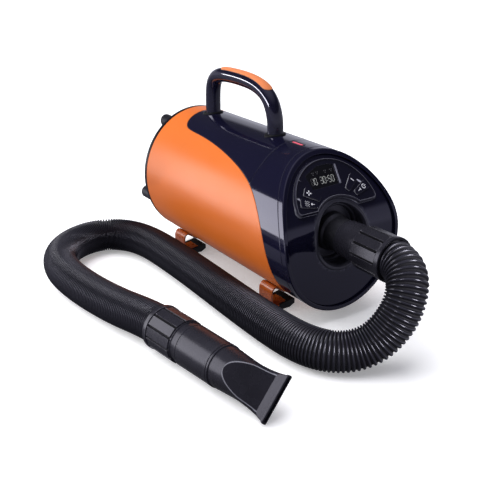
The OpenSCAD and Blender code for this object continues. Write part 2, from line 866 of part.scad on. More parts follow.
module impeller() {
    color(steel) placed() difference() {
        union() {
            rod_y(fan_r - 4, impeller_front, impeller_front + 1.5);
            ring_y(fan_r - 4, eye_r - 4, impeller_front + 10.5, impeller_front + 12);
            rod_y(9, impeller_front, impeller_front + 10);
            for (a = [0 : blades - 1]) rotate([0, 360 / blades * a, 0])
                translate([8, impeller_front + 1, -0.75]) cube([fan_r - 14, 10, 1.5]);
        }
        rod_y(shaft_r + 0.01, impeller_front - 1, impeller_front + 13);
    }
}

module bearing(y, seat_r) {
    color(steel) placed() ring_y(seat_r, shaft_r + shaft_gap, y, y + 7);
}

module brush_holders() {
    color(copper) placed() for (a = [0, 180]) rotate([0, a + 90, 0])
        translate([-5, motor_front + 8.2, 11.3]) cube([10, 12, motor_r - 8]);
}

front_bulkhead_y = motor_front - 9;

module front_bulkhead() {
    color(charcoal) placed() difference() {
        along_y(front_bulkhead_y, front_bulkhead_y + bulkhead_t) oval(-lining);
        rod_y(17.2, front_bulkhead_y - 1, front_bulkhead_y + 5);
        for (a = [0 : 45 : 315]) rotate([0, a + 22.5, 0]) translate([0, 0, 24.5])
            rod_y(3.2, front_bulkhead_y - 1, front_bulkhead_y + 5);
    }
}

module motor_cup() {
    color(black) placed() difference() {
        union() {
            rod_y(17, front_bulkhead_y, motor_front);
            rod_y(20, front_bulkhead_y + bulkhead_t + 0.1, motor_front);
        }
        rod_y(11.3, front_bulkhead_y - 1, motor_front + 1);
    }
}

tube_wall = 1.5;
tube_from = recess_y + cup_wall + 3;

module heater_tube() {
    color(steel) placed() ring_y(tube_r, tube_r - tube_wall, tube_from + 0.05, front_bulkhead_y - 0.05);
}

mica_t = 1.5;
mica_from = tube_from + 12;
mica_to = front_bulkhead_y - 14;
mica_w = tube_r - tube_wall - 0.15;
winding_r = tube_r - 8;
winding_step = (mica_to - mica_from - 30) / windings;

module heater_frame() {
    color([0.8, 0.72, 0.55]) placed() difference() {
        union() {
            translate([-mica_w, mica_from, -mica_t / 2]) cube([2 * mica_w, mica_to - mica_from, mica_t]);
            translate([-mica_t / 2, mica_from, -mica_w]) cube([mica_t, mica_to - mica_from, 2 * mica_w]);
        }
        heater_grooves();
    }
}

module at_windings() {
    for (k = [0 : windings - 1]) translate([0, mica_from + 10 + k * winding_step, 0]) children();
}

module heater_grooves() {
    at_windings() ring_y(winding_r + 0.2, winding_r - 2.2, -0.2, 2.2);
}

module heater_windings() {
    color(copper) placed() at_windings() ring_y(winding_r, winding_r - 2, 0, 2);
}

module thermal_cutout() {
    color(steel) placed() translate([mica_w / 2, mica_to - 16, mica_t / 2]) {
        cylinder(r = 6, h = 5);
    }
}

module power_board() {
    color([0.1, 0.35, 0.2]) placed() {
        board_low = -body_h / 2 + wall + 14;
        translate([-32, -100, board_low]) cube([64, 80, board_t]);
        for (x = [-26, 26], y = [-94, -26]) intersection() {
            translate([x, y, -body_h / 2]) cylinder(r = 3, h = wall + 14 + eps);
            along_y(-100, -20) oval(-wall - 0.05);
        }
        translate([-20, -92, board_low + board_t - eps]) cube([40, 12, 22]);
        translate([-16, -60, board_low + board_t - eps]) cube([14, 20, 12]);
    }
}

// ---- Hose and nozzle ----

cuff_end = front_y - 2 - grip_l - collar_l;
grip_r = 25.8;
rim_r = 27.6;
collar_r = 24;
pad_w = 11;
pad_top = 27.2;
socket_l = collar_l + grip_l - hose_seat - 4;

// A hose cuff along +Y: the hose enters at y = 0, the plug's socket is at the other end.
module cuff() {
    end = grip_l + collar_l;
    turned([[hose_r + 0.1, 0], [rim_r - 1, 0], [rim_r, 1], [rim_r, 6], [grip_r, 7.5],
        [grip_r, grip_l - 1], [grip_r - 1, grip_l], [collar_r, grip_l + 1], [spigot_r + 1.3, end],
        [spigot_r + 0.05, end], [spigot_r + 0.05, end - socket_l], [hose_bore, end - socket_l],
        [hose_bore, hose_seat], [hose_r + 0.1, hose_seat]]);
    for (k = [0 : pads - 1]) rotate([0, 360 / pads * k, 0])
        translate([-pad_w / 2, 5, grip_r - 2]) cube([pad_w, grip_l - 7, pad_top - grip_r + 2]);
}

module hose_cuff() {
    color(charcoal) placed() translate([0, cuff_end, 0]) cuff();
}

// The hose's middle line, from its seat in the first cuff to its seat in the far cuff.
far_pos = [-222, -109, 28.6];
far_turn = 7.2;
far_dip = 0.9;
far_dir = [sin(far_turn) * cos(far_dip), -cos(far_turn) * cos(far_dip), -sin(far_dip)];
hose_start = cuff_end + hose_seat;
hose_route = concat([for (t = [0, 15, 31, 46, 52]) [0, hose_start - t, axis_h]],
    [[-3, -280, 108], [-10, -292, 97], [-18, -297, 81], [-26, -297, 65], [-35, -293, 50],
    [-47, -288, 37], [-61, -280, 28], [-77, -271, 24], [-93, -258, 24], [-103, -238, 24],
    [-109, -208, 24], [-110, -160, 24], [-109, -105, 24], [-107, -45, 24], [-105, 20, 24],
    [-105, 85, 24], [-107, 138, 24], [-117, 174, 24], [-137, 198, 24], [-165, 207, 24],
    [-193, 201, 24], [-219, 185, 24], [-239, 160, 24], [-250, 129, 24], [-253, 98, 24],
    [-252, 64, 24], [-248, 28, 24], [-243, -6, 25], [-237, -38, 26], [-230, -66, 28]],
    [for (t = [-12, 0, 15, 31, 46]) far_pos + t * far_dir]);
hose_line = spline(hose_route, 8);
hose_sides = 8;
bore_rings = 70;

// A ribbed tube: each rib is a crest ring and a valley ring, and the bore is smooth.
module hose() {
    rings = 2 * ribs + 1;
    path = even_steps(hose_line, rings - 1);
    side = sideways(path, [1, 0, 0]);
    picks = [for (k = [0 : bore_rings - 1]) round(k * (rings - 1) / (bore_rings - 1))];
    outer = [for (i = [0 : rings - 1]) each ring_points(path[i], heading(path, i), side[i],
        i % 2 == 1 ? hose_r : hose_r - rib_h, i % 2 == 1 ? hose_r : hose_r - rib_h, hose_sides)];
    inner = [for (i = picks) each ring_points(path[i], heading(path, i), side[i],
        hose_bore, hose_bore, hose_sides)];
    last = (rings - 1) * hose_sides;
    bore = rings * hose_sides;
    bore_last = bore + (bore_rings - 1) * hose_sides;
    ends = [for (k = [0 : hose_sides - 1]) let (n = (k + 1) % hose_sides)
        each [[n, k, bore + k], [n, bore + k, bore + n],
            [last + k, last + n, bore_last + k], [last + n, bore_last + n, bore_last + k]]];
    color(charcoal) translate([0, centre_y, 0]) polyhedron(points = concat(outer, inner),
        faces = concat(skin(rings, hose_sides, 0, false), skin(bore_rings, hose_sides, bore, true), ends));
}

// Puts a piece that is drawn along -Y from the far cuff's rim into its place.
module at_far_end() {
    translate([0, centre_y, 0]) translate(far_pos) rotate([0, 0, far_turn]) rotate([far_dip, 0, 0])
        children();
}

module nozzle_cuff() {
    color(charcoal) at_far_end() mirror([0, 1, 0]) cuff();
}

sleeve_from = grip_l + 7;
sleeve_to = sleeve_from + sleeve_l;
sleeve_r = 25.8;
neck_l = 18;
plug_r = spigot_r;

// The sleeve turns on the cuff: a tube inside its socket, and a plug for the nozzle.
module connector_sleeve() {
    end = grip_l + collar_l;
    color(charcoal) at_far_end() mirror([0, 1, 0]) turned([
        [plug_r, end - socket_l + 0.3], [plug_r, end + 1], [collar_r + 0.3, end + 1],
        [collar_r + 0.3, sleeve_from], [sleeve_r, sleeve_from], [sleeve_r, sleeve_from + 6],
        [sleeve_r - 0.6, sleeve_to], [plug_r, sleeve_to], [plug_r, sleeve_to + neck_l],
        [plug_r - spigot_wall, sleeve_to + neck_l], [plug_r - spigot_wall, end - socket_l + 0.3]]);
}

nozzle_from = sleeve_to + 0.3;
nozzle_to = nozzle_from + nozzle_l;
neck_r = 24.2;
neck_ring_r = 25.4;
neck_ring_w = 3;
nozzle_wall = 1.5;
facet_from = 23;
lip_w = 2.2;
lip_out = 0.7;
band_w = 13.5;
mouth_side_h = 12;

waist_y = nozzle_from + 0.55 * nozzle_l;
waist_w = 44.5;

module waist(shrink) {
    along_y(waist_y, waist_y + 1) round_box(waist_w - 2 * shrink, waist_w - 2 - 2 * shrink, 14);
}

// The nozzle's form: a round neck drawn in to a waist, then out to the mouth, between two flats.
module nozzle_form(shrink) {
    flat_end = mouth_h / 2 - shrink;
    past = shrink > 0 ? 5 : 0;
    intersection() {
        union() {
            hull() {
                rod_y(neck_r - shrink, nozzle_from + 10, nozzle_from + 11);
                waist(shrink);
            }
            hull() {
                waist(shrink);
                along_y(nozzle_to - 1 + past, nozzle_to + past)
                    round_box(mouth_w - 2 * shrink, mouth_side_h - 2 * shrink, 4);
            }
        }
        along_x(100) polygon([[nozzle_from - 5, neck_r], [nozzle_from + facet_from, neck_r - shrink],
            [nozzle_to - band_w, flat_end], [nozzle_to + 6, flat_end], [nozzle_to + 6, -flat_end],
            [nozzle_to - band_w, -flat_end], [nozzle_from + facet_from, shrink - neck_r],
            [nozzle_from - 5, -neck_r]]);
    }
}

module flat_nozzle() {
    color(charcoal) at_far_end() mirror([0, 1, 0]) rotate([0, -nozzle_roll, 0]) difference() {
        union() {
            rod_y(neck_ring_r, nozzle_from, nozzle_from + neck_ring_w);
            rod_y(neck_r, nozzle_from, nozzle_from + 10.5);
            nozzle_form(0);
            along_y(nozzle_to - lip_w, nozzle_to)
                round_box(mouth_w + 2 * lip_out, mouth_h + 2 * lip_out, 2.4);
        }
        rod_y(plug_r + 0.08, nozzle_from - 1, nozzle_from + neck_l + 0.5);
        nozzle_form(nozzle_wall);
    }
}

// ---- Drawing ----

main_shell();
top_cover();
front_housing();
front_trim_ring();
face_plate();
outlet_spigot();
panel_bezel();
display_window();
display_module();
control_board();
key(seat_fan);  // key_fan
key(seat_heat);  // key_heat
key(seat_minus);  // key_minus
key(seat_power);  // key_power
handle();
handle_grip();
gasket(handle_front_y);  // handle_gasket_front
gasket(handle_rear_y);  // handle_gasket_rear
handle_screws();
indicator_bezel();
indicator_lens();
foot(-1, -foot_front);  // foot_front_left
foot(1, -foot_front);  // foot_front_right
foot(-1, foot_rear);  // foot_rear_left
foot(1, foot_rear);  // foot_rear_right
boot(-1, -foot_front);  // boot_front_left
boot(1, -foot_front);  // boot_front_right
boot(-1, foot_rear);  // boot_rear_left
boot(1, foot_rear);  // boot_rear_right
foot_screws();
rear_cover();
rear_cover_screws();
rear_posts();
filter_cap();
filter_foam();
power_inlet();
rear_bulkhead();
motor_ring();
fan_casing();
motor_frame();
stator();
rotor();
impeller();
bearing(motor_front + 0.5, 11);  // front_bearing
bearing(motor_back - 4, 13);  // rear_bearing
brush_holders();
front_bulkhead();
motor_cup();
heater_tube();
heater_frame();
heater_windings();
thermal_cutout();
power_board();
hose_cuff();
hose();
nozzle_cuff();
connector_sleeve();
flat_nozzle();
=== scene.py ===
import json
import math

import bpy
import bmesh
import numpy as np
from mathutils import Matrix, Vector
from mathutils.geometry import delaunay_2d_cdt

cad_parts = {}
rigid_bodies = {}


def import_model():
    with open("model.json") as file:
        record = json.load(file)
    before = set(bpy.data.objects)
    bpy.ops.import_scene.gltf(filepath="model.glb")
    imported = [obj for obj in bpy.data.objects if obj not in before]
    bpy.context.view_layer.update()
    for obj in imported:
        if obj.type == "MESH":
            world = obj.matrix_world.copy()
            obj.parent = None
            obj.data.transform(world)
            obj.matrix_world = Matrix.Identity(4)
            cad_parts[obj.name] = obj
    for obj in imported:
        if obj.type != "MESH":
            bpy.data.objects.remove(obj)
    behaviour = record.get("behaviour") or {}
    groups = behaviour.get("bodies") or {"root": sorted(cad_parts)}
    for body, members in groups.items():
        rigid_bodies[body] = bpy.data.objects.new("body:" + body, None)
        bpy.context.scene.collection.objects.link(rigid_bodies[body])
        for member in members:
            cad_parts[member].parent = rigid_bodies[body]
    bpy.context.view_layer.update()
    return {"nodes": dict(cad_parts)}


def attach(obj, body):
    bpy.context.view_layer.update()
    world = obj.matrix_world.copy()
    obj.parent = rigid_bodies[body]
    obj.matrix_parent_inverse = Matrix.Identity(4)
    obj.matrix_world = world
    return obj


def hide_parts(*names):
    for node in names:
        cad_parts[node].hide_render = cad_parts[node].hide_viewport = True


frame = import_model()
scene = bpy.context.scene
pi = math.pi
MM = 0.001
AXIS_H = 112.0


def linked(name, data):
    """A new object of the scene."""
    ob = bpy.data.objects.new(name, data)
    scene.collection.objects.link(ob)
    return ob


# ---------------------------------------------------------------- camera
CAM_RIGHT, CAM_UP, CAM_BACK = [0.8230, -0.5680, 0.0], [0.2243, 0.3250, 0.9187], [-0.5217, -0.7563, 0.3949]
CAM_AT = np.array([-593.7, -830.7, 360.2 + AXIS_H])
cam = bpy.data.cameras.new("camera")
cam.lens, cam.sensor_width = 56.13, 36.0
cam.clip_start, cam.clip_end = 0.02, 60
scene.camera = linked("camera", cam)
camera_axes = np.eye(4)
camera_axes[:3] = np.stack([CAM_RIGHT, CAM_UP, CAM_BACK, CAM_AT * MM], 1)
scene.camera.matrix_world = Matrix(camera_axes.tolist())


# ---------------------------------------------------------------- mesh tools
def unit(v):
    v = np.asarray(v, float)
    n = np.linalg.norm(v, axis=-1, keepdims=True)
    return v / np.where(n < 1e-12, 1, n)


def put(name, part, body="housing", nodes=(), mat=None):
    """A mesh piece from points in millimetres, their normals and its faces."""
    verts, normals, _ = part
    me = bpy.data.meshes.new(name)
    me.from_pydata((verts * MM).tolist(), [], [tuple(int(i) for i in f) for f in facing_out(*part)])
    me.update()
    for p in me.polygons:
        p.use_smooth = True
    me.normals_split_custom_set_from_vertices(normals.tolist())
    me.materials.append(mat)
    ob = linked(name, me)
    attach(ob, body)
    if nodes:
        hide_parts(*nodes)
    return ob


def mark_points(ob, name, values, rest):
    """A number for each point of a piece; the points past the given values get the rest's."""
    level = ob.data.attributes.new(name, "FLOAT", "POINT")
    level.data.foreach_set("value", np.append(values, np.full(len(ob.data.vertices) - len(values), rest)))


def grid_faces(nu, nv, closed_u, closed_v):
    """Quads of nu rings of nv points each."""
    out = []
    for i in range(nu if closed_u else nu - 1):
        for j in range(nv if closed_v else nv - 1):
            ring, ring_after, after = i * nv, (i + 1) % nu * nv, (j + 1) % nv
            out.append((ring + j, ring_after + j, ring_after + after, ring + after))
    return out


def turned(p, angle):
    """2D points turned anticlockwise by an angle."""
    c, s = math.cos(angle), math.sin(angle)
    return np.asarray(p) @ np.array([[c, s], [-s, c]])


def fillet(points, radii, closed=True, segs=4):
    """A 2D outline with its corners rounded: rows of x, y, normal x, normal y (normal to the right)."""
    pts = [np.array(p, float) for p in points]
    n = len(pts)
    if not hasattr(radii, "__len__"):
        radii = [radii] * n
    rows = []
    for i, p in enumerate(pts):
        if not closed and i in (0, n - 1):
            d = unit(pts[1] - p) if i == 0 else unit(p - pts[n - 2])
            rows.append([*p, d[1], -d[0]])
            continue
        a, b = pts[i - 1], pts[(i + 1) % n]
        d1, d2 = unit(p - a), unit(b - p)
        d = unit(d1 + d2)
        turn = math.atan2(d1[0] * d2[1] - d1[1] * d2[0], float(np.dot(d1, d2)))
        if radii[i] < 1e-6:
            if abs(turn) < 0.5:
                rows.append([*p, d[1], -d[0]])
            else:
                rows += [[*p, d1[1], -d1[0]], [*p, d2[1], -d2[0]]]
            continue
        reach = 0.45 * min(np.linalg.norm(p - a), np.linalg.norm(b - p))
        t = min(radii[i] * math.tan(abs(turn) / 2), reach)
        if t < 1e-4:
            rows += [[*p, d[1], -d[0]]] * (segs + 1)
            continue
        r = math.copysign(t / math.tan(abs(turn) / 2), turn)
        n1 = np.array([d1[1], -d1[0]])
        centre = p - d1 * t - n1 * r
        for k in range(segs + 1):
            normal = turned(n1, turn * k / segs)
            rows.append([*(centre + normal * r), *normal])
    return np.array(rows)


def swept(frames, rows, closed_path, closed_section):
    """Rings of a section along a path. frames: (origin, x axis, y axis); rows from fillet()."""
    v = [o + np.outer(rows[:, 0], x) + np.outer(rows[:, 1], y) for o, x, y in frames]
    nr = [unit(np.outer(rows[:, 2], x) + np.outer(rows[:, 3], y)) for _, x, y in frames]
    faces = grid_faces(len(frames), len(rows), closed_path, closed_section)
    return np.concatenate(v), np.concatenate(nr), faces


def cleaned(v, nr, faces):
    """Drops faces' repeated corners and empty faces."""
    out = []
    for f in faces:
        corners = []
        for i in f:
            if not corners or np.linalg.norm(v[i] - v[corners[-1]]) > 1e-5:
                corners.append(i)
        if len(corners) > 1 and np.linalg.norm(v[corners[0]] - v[corners[-1]]) <= 1e-5:
            corners.pop()
        if len(corners) > 2:
            out.append(tuple(corners))
    return v, nr, out


def lathe(rows, n=96):
    """Turns rows of r, y, normal r, normal y round the Y axis."""
    frames = [(np.zeros(3), [math.cos(a), 0, math.sin(a)], [0, 1, 0])
              for a in (2 * pi * k / n for k in range(n))]
    return cleaned(*swept(frames, rows, True, False))


def facing_out(v, nr, faces):
    """Turns each face so that it agrees with its corners' normals."""
    out = []
    for f in faces:
        a, b, c = v[f[0]], v[f[1]], v[f[2]]
        facing = np.cross(b - a, c - a)
        if len(f) > 3:
            facing = facing + np.cross(c - a, v[f[3]] - a)
        out.append(f if np.dot(facing, nr[f[0]] + nr[f[1]] + nr[f[2]]) >= 0 else tuple(reversed(f)))
    return out


def joined(parts):
    """Several (verts, normals, faces) as one."""
    v, nr, f, n = [], [], [], 0
    for a, b, c in parts:
        v.append(a)
        nr.append(b)
        f += [tuple(i + n for i in q) for q in c]
        n += len(a)
    return np.concatenate(v), np.concatenate(nr), f


# ---------------------------------------------------------------- curves
def spline(p, steps):
    """A uniform cubic B-spline that starts and ends on its first and last points."""
    p = np.array(p, float)
    q = np.vstack([2 * p[0] - p[1], p, 2 * p[-1] - p[-2]])
    out = []
    for i in range(len(p) - 1):
        for k in range(steps):
            t = k / steps
            out.append(((1 - t) ** 3 * q[i] + (3 * t ** 3 - 6 * t ** 2 + 4) * q[i + 1]
                        + (-3 * t ** 3 + 3 * t ** 2 + 3 * t + 1) * q[i + 2] + t ** 3 * q[i + 3]) / 6)
    out.append(p[-1])
    return np.array(out)


def resample(p, n=None, step=None):
    """A line cut into n equal pieces, or pieces about as long as step, and its length."""
    p = np.asarray(p, float)
    s = np.concatenate([[0], np.cumsum(np.linalg.norm(np.diff(p, axis=0), axis=1))])
    if n is None:
        n = max(2, int(round(s[-1] / step)))
    t = np.linspace(0, s[-1], n + 1)
    return np.stack([np.interp(t, s, p[:, k]) for k in range(p.shape[1])], 1), s[-1]


def headings(p):
    """The direction of a line at each of its points."""
    return unit(np.gradient(p, axis=0))


def carried(p, first):
    """Side vectors carried along a path without twist."""
    d = headings(p)
    v = unit(np.array(first, float) - np.dot(first, d[0]) * d[0])
    out = [v]
    for i in range(1, len(p)):
        v = unit(v - np.dot(v, d[i]) * d[i])
        out.append(v)
    return np.array(out), d


# ---------------------------------------------------------------- materials
def node(tree, kind, values=None):
    """A new shader node, with the values of its inputs by name or number."""
    made = tree.nodes.new("ShaderNode" + kind)
    for key, value in (values or {}).items():
        made.inputs[key].default_value = value
    return made


def empty_tree(owner):
    owner.use_nodes = True
    owner.node_tree.nodes.clear()
    return owner.node_tree, owner.node_tree.links.new


def material(name, colour, rough=0.5, metal=0.0, coat=0.0, coat_rough=0.05, spec=0.5, sheen=0.0,
             vary=0.08, vary_scale=30.0, grain=0.0, grain_scale=900.0, rough_vary=0.08, edge_wear_and_highlight=0.0,
             edge_wear_and_highlight_colour=None, patchy=True, glow=0.0, tint=(1, 1, 1)):
    """A procedural surface: colour drift, gloss drift, fine grain and lighter edges, which are real scuffs on
    some materials and a painted edge highlight on others.
    """
    mt = bpy.data.materials.new(name)
    tree, link = empty_tree(mt)
    shader = node(tree, "BsdfPrincipled", {
        "Metallic": metal, "Coat Weight": coat, "Coat Roughness": coat_rough, "Specular IOR Level": spec,
        "Sheen Weight": sheen, "Specular Tint": (*tint, 1)})
    link(shader.outputs[0], node(tree, "OutputMaterial").inputs[0])
    where = node(tree, "TexCoord").outputs["Object"]
    if glow:
        shader.inputs["Emission Color"].default_value = (*colour, 1)
        shader.inputs["Emission Strength"].default_value = glow

    def noise(scale, detail=3.0):
        made = node(tree, "TexNoise", {"Scale": scale, "Detail": detail, "Roughness": 0.55})
        link(where, made.inputs["Vector"])
        return made.outputs["Fac"]

    def ramp(fac, low, high, start=0.3, end=0.7):
        made = node(tree, "ValToRGB")
        for stop, position, shade in zip(made.color_ramp.elements, (start, end), (low, high)):
            stop.position = position
            stop.color = (*shade, 1)
        link(fac, made.inputs[0])
        return made.outputs[0]

    base = np.array(colour)
    col = ramp(noise(vary_scale), *(np.clip(base * (1 + k * vary), 0, 1) for k in (-1, 1)))
    # Lighter colour on sharp edges: real scuffs on most materials, a painted edge highlight on the navy, key,
    # panel, recess and cuff plastics.
    if edge_wear_and_highlight:
        edge = ramp(node(tree, "NewGeometry").outputs["Pointiness"], (0, 0, 0), (edge_wear_and_highlight,) * 3, 0.53, 0.62)
        patch = ramp(noise(160.0, 5.0), (0.0 if patchy else 0.75,) * 3, (1, 1, 1), 0.42, 0.6)
        amount, wear_and_highlight_mix = node(tree, "Mix"), node(tree, "Mix")
        amount.data_type, amount.blend_type, wear_and_highlight_mix.data_type = "RGBA", "MULTIPLY", "RGBA"
        amount.inputs[0].default_value = 1.0
        wear_and_highlight_mix.inputs[7].default_value = (*(edge_wear_and_highlight_colour or np.clip(base * 1.8 + 0.05, 0, 1)), 1)
        for socket, target in ((edge, amount.inputs[6]), (patch, amount.inputs[7]),
                               (amount.outputs[2], wear_and_highlight_mix.inputs[0]), (col, wear_and_highlight_mix.inputs[6])):
            link(socket, target)
        col = wear_and_highlight_mix.outputs[2]
    link(col, shader.inputs["Base Color"])
    gloss = node(tree, "MapRange", {"From Min": 0.3, "From Max": 0.7, "To Min": rough * (1 - rough_vary),
                                    "To Max": min(1.0, rough * (1 + rough_vary))})
    link(noise(vary_scale * 2.3, 4.0), gloss.inputs["Value"])
    link(gloss.outputs[0], shader.inputs["Roughness"])
    if grain:
        bump = node(tree, "Bump", {"Strength": grain, "Distance": 0.0004})
        link(noise(grain_scale, 2.0), bump.inputs["Height"])
        link(bump.outputs[0], shader.inputs["Normal"])
    return mt


DUSK = (0.86, 0.84, 1.0)
ORANGE = material("orange_shell", (0.63, 0.138, 0.016), rough=0.34, spec=0.28, vary=0.03, vary_scale=7,
                  grain=0.05, grain_scale=1800, edge_wear_and_highlight=0.25)
# The navy's even, light bluish-grey edge colour is a painted highlight along its edges and seams.
NAVY = material("navy_gloss", (0.0048, 0.0046, 0.0150), rough=0.08, vary_scale=10, rough_vary=0.12, edge_wear_and_highlight=0.9,
                edge_wear_and_highlight_colour=(0.42, 0.42, 0.50), patchy=False, tint=(0.80, 0.78, 1.0))
BAR = material("handle_gloss", (0.0055, 0.0053, 0.015), rough=0.06, vary_scale=14,
               edge_wear_and_highlight=0.25, edge_wear_and_highlight_colour=(0.07, 0.07, 0.11), tint=DUSK)
BLACK_GLOSS = material("black_gloss", (0.005, 0.005, 0.009), rough=0.13, vary=0.12, vary_scale=20, edge_wear_and_highlight=0.2,
                       edge_wear_and_highlight_colour=(0.06, 0.06, 0.08), tint=DUSK)
PLAIN = dict(vary=0.15, vary_scale=40, grain=0.2, grain_scale=1300, edge_wear_and_highlight=0.3, edge_wear_and_highlight_colour=(0.06, 0.06, 0.065),
             tint=DUSK)
BLACK = material("black_plastic", (0.009, 0.009, 0.011), rough=0.40, **PLAIN)
POST = material("post_plastic", (0.006, 0.006, 0.008), rough=0.42, spec=0.22, **PLAIN)
REAR_BLACK = material("rear_plastic", (0.004, 0.004, 0.006), rough=0.36, spec=0.14, vary=0.12, vary_scale=20,
                      grain=0.08, grain_scale=1300, edge_wear_and_highlight=0.25, edge_wear_and_highlight_colour=(0.03, 0.03, 0.035), tint=DUSK)
# The keys' near-white edge colour is a painted highlight round each key.
KEY = material("key_plastic", (0.0060, 0.0058, 0.014), rough=0.16, vary=0.1, grain=0.03,
               grain_scale=1500, edge_wear_and_highlight=0.95, edge_wear_and_highlight_colour=(0.85, 0.85, 0.92), patchy=False, tint=DUSK)
# Light grey on the display's right edge: a painted highlight.
PAINTED_CHAMFER_HIGHLIGHT = material("display_chamfer_highlight", (0.16, 0.16, 0.20), rough=0.2, spec=0.8, vary=0.15, vary_scale=200,
                   tint=DUSK)
# The surround's light edge colour is a painted highlight along its ridges and holes.
PANEL = material("panel_plastic", (0.0060, 0.0058, 0.014), rough=0.14, vary=0.1, grain=0.03,
                 grain_scale=1500, edge_wear_and_highlight=0.95, edge_wear_and_highlight_colour=(0.75, 0.75, 0.85), patchy=False, tint=DUSK)
# The recess's light grey edge colour is a painted highlight on its rings' edges, in patches.
PIT = material("recess_plastic", (0.0240, 0.0240, 0.0330), rough=0.30, vary=0.1, vary_scale=40,
               grain=0.08, grain_scale=1200, edge_wear_and_highlight=0.9, edge_wear_and_highlight_colour=(0.24, 0.24, 0.30), tint=DUSK)
GRIP = material("grip_orange", (0.70, 0.19, 0.045), rough=0.50, vary=0.05, vary_scale=25, grain=0.3,
                grain_scale=1500, sheen=0.1, edge_wear_and_highlight=0.2)
FOOT = material("foot_paint", (0.42, 0.085, 0.012), rough=0.28, coat=0.2, coat_rough=0.2,
                vary_scale=60, grain=0.08, grain_scale=700, edge_wear_and_highlight=0.2, edge_wear_and_highlight_colour=(0.6, 0.22, 0.06))
RUBBER = material("black_rubber", (0.008, 0.008, 0.009), rough=0.6, spec=0.2, vary=0.2, vary_scale=60,
                  grain=0.35, edge_wear_and_highlight=0.3, edge_wear_and_highlight_colour=(0.05, 0.05, 0.05))
# The cuffs' and nozzle's light grey edge colour is a painted highlight along the pads' and rims' edges, in
# patches.
CUFF, PADDED, NOZZLE = (
    material(name + "_plastic", (0.0125, 0.0120, 0.0165), rough=0.27, spec=0.26, vary=0.15, vary_scale=35,
             grain=0.14, grain_scale=1200, edge_wear_and_highlight=0.9, edge_wear_and_highlight_colour=(0.34, 0.33, 0.38), tint=DUSK)
    for name in ("charcoal", "padded", "nozzle"))
HOSE = material("hose_plastic", (0.0070, 0.0068, 0.0100), rough=0.17, spec=0.45, vary=0.2, vary_scale=25,
                grain=0.05, tint=DUSK)
STEEL = material("zinc_steel", (0.55, 0.55, 0.57), rough=0.35, metal=1.0, vary_scale=80, grain=0.15,
                 grain_scale=1500, edge_wear_and_highlight=0.3)
SHEET = material("sheet_steel", (0.5, 0.51, 0.53), rough=0.42, metal=1.0, vary=0.12, grain=0.1,
                 grain_scale=500, edge_wear_and_highlight=0.2)
ALUMINIUM = material("cast_aluminium", (0.66, 0.67, 0.69), rough=0.45, metal=1.0, vary_scale=50,
                     grain=0.3, grain_scale=800)
BRASS = material("brass", (0.66, 0.44, 0.18), rough=0.35, metal=1.0, vary=0.12, vary_scale=70, grain=0.1)
MICA = material("mica_board", (0.52, 0.42, 0.26), rough=0.6, vary=0.15, vary_scale=90, grain=0.3,
                grain_scale=400)
BOARD = material("board", (0.02, 0.12, 0.05), rough=0.45, vary=0.15, vary_scale=120, grain=0.1)
FOAM = material("foam", (0.03, 0.03, 0.034), rough=0.95, vary=0.4, vary_scale=700, grain=1.0, grain_scale=350)
LENS = material("red_lens", (0.72, 0.05, 0.10), rough=0.16, coat=0.4, vary=0.1, vary_scale=60, glow=0.25)
DIGIT = material("digit", (0.34, 0.35, 0.33), vary=0.25, vary_scale=400, glow=0.22)
GHOST = material("faint_mark", (0.06, 0.06, 0.065), rough=0.4, vary=0.2, vary_scale=300)
MARK = material("white_mark", (0.80, 0.80, 0.83), vary_scale=300)
SCREEN = material("screen", (0.004, 0.004, 0.006), rough=0.08, vary=0.1, vary_scale=50)


def paint_light_where_low(mt, attribute, colour, rough):
    """Paints another colour and roughness where the mesh's attribute is 0: painted shade in the hose's rib
    valleys and the cuffs' grooves, a painted highlight along the nozzle's flat edges.
    """
    tree = mt.node_tree
    shader = next(n for n in tree.nodes if n.type == "BSDF_PRINCIPLED")
    level = node(tree, "Attribute")
    level.attribute_name = attribute
    for socket, kind, low, (a, b, out) in (("Base Color", "RGBA", (*colour, 1), (6, 7, 2)),
                                           ("Roughness", "FLOAT", rough, (2, 3, 0))):
        mix = node(tree, "Mix")
        mix.data_type = kind
        mix.inputs[a].default_value = low
        tree.links.new(level.outputs["Fac"], mix.inputs[0])
        tree.links.new(shader.inputs[socket].links[0].from_socket, mix.inputs[b])
        tree.links.new(mix.outputs[out], shader.inputs[socket])


# Near black and matte: the painted shade in the hose's rib valleys and between the cuffs' pads. The nozzle's
# light grey is a painted highlight on its flats' edges.
GROOVE_SHADE = (0.001, 0.001, 0.001)
paint_light_where_low(HOSE, "crest", GROOVE_SHADE, 0.85)
paint_light_where_low(PADDED, "pad", GROOVE_SHADE, 0.85)
paint_light_where_low(NOZZLE, "plain", (0.20, 0.20, 0.23), 0.35)

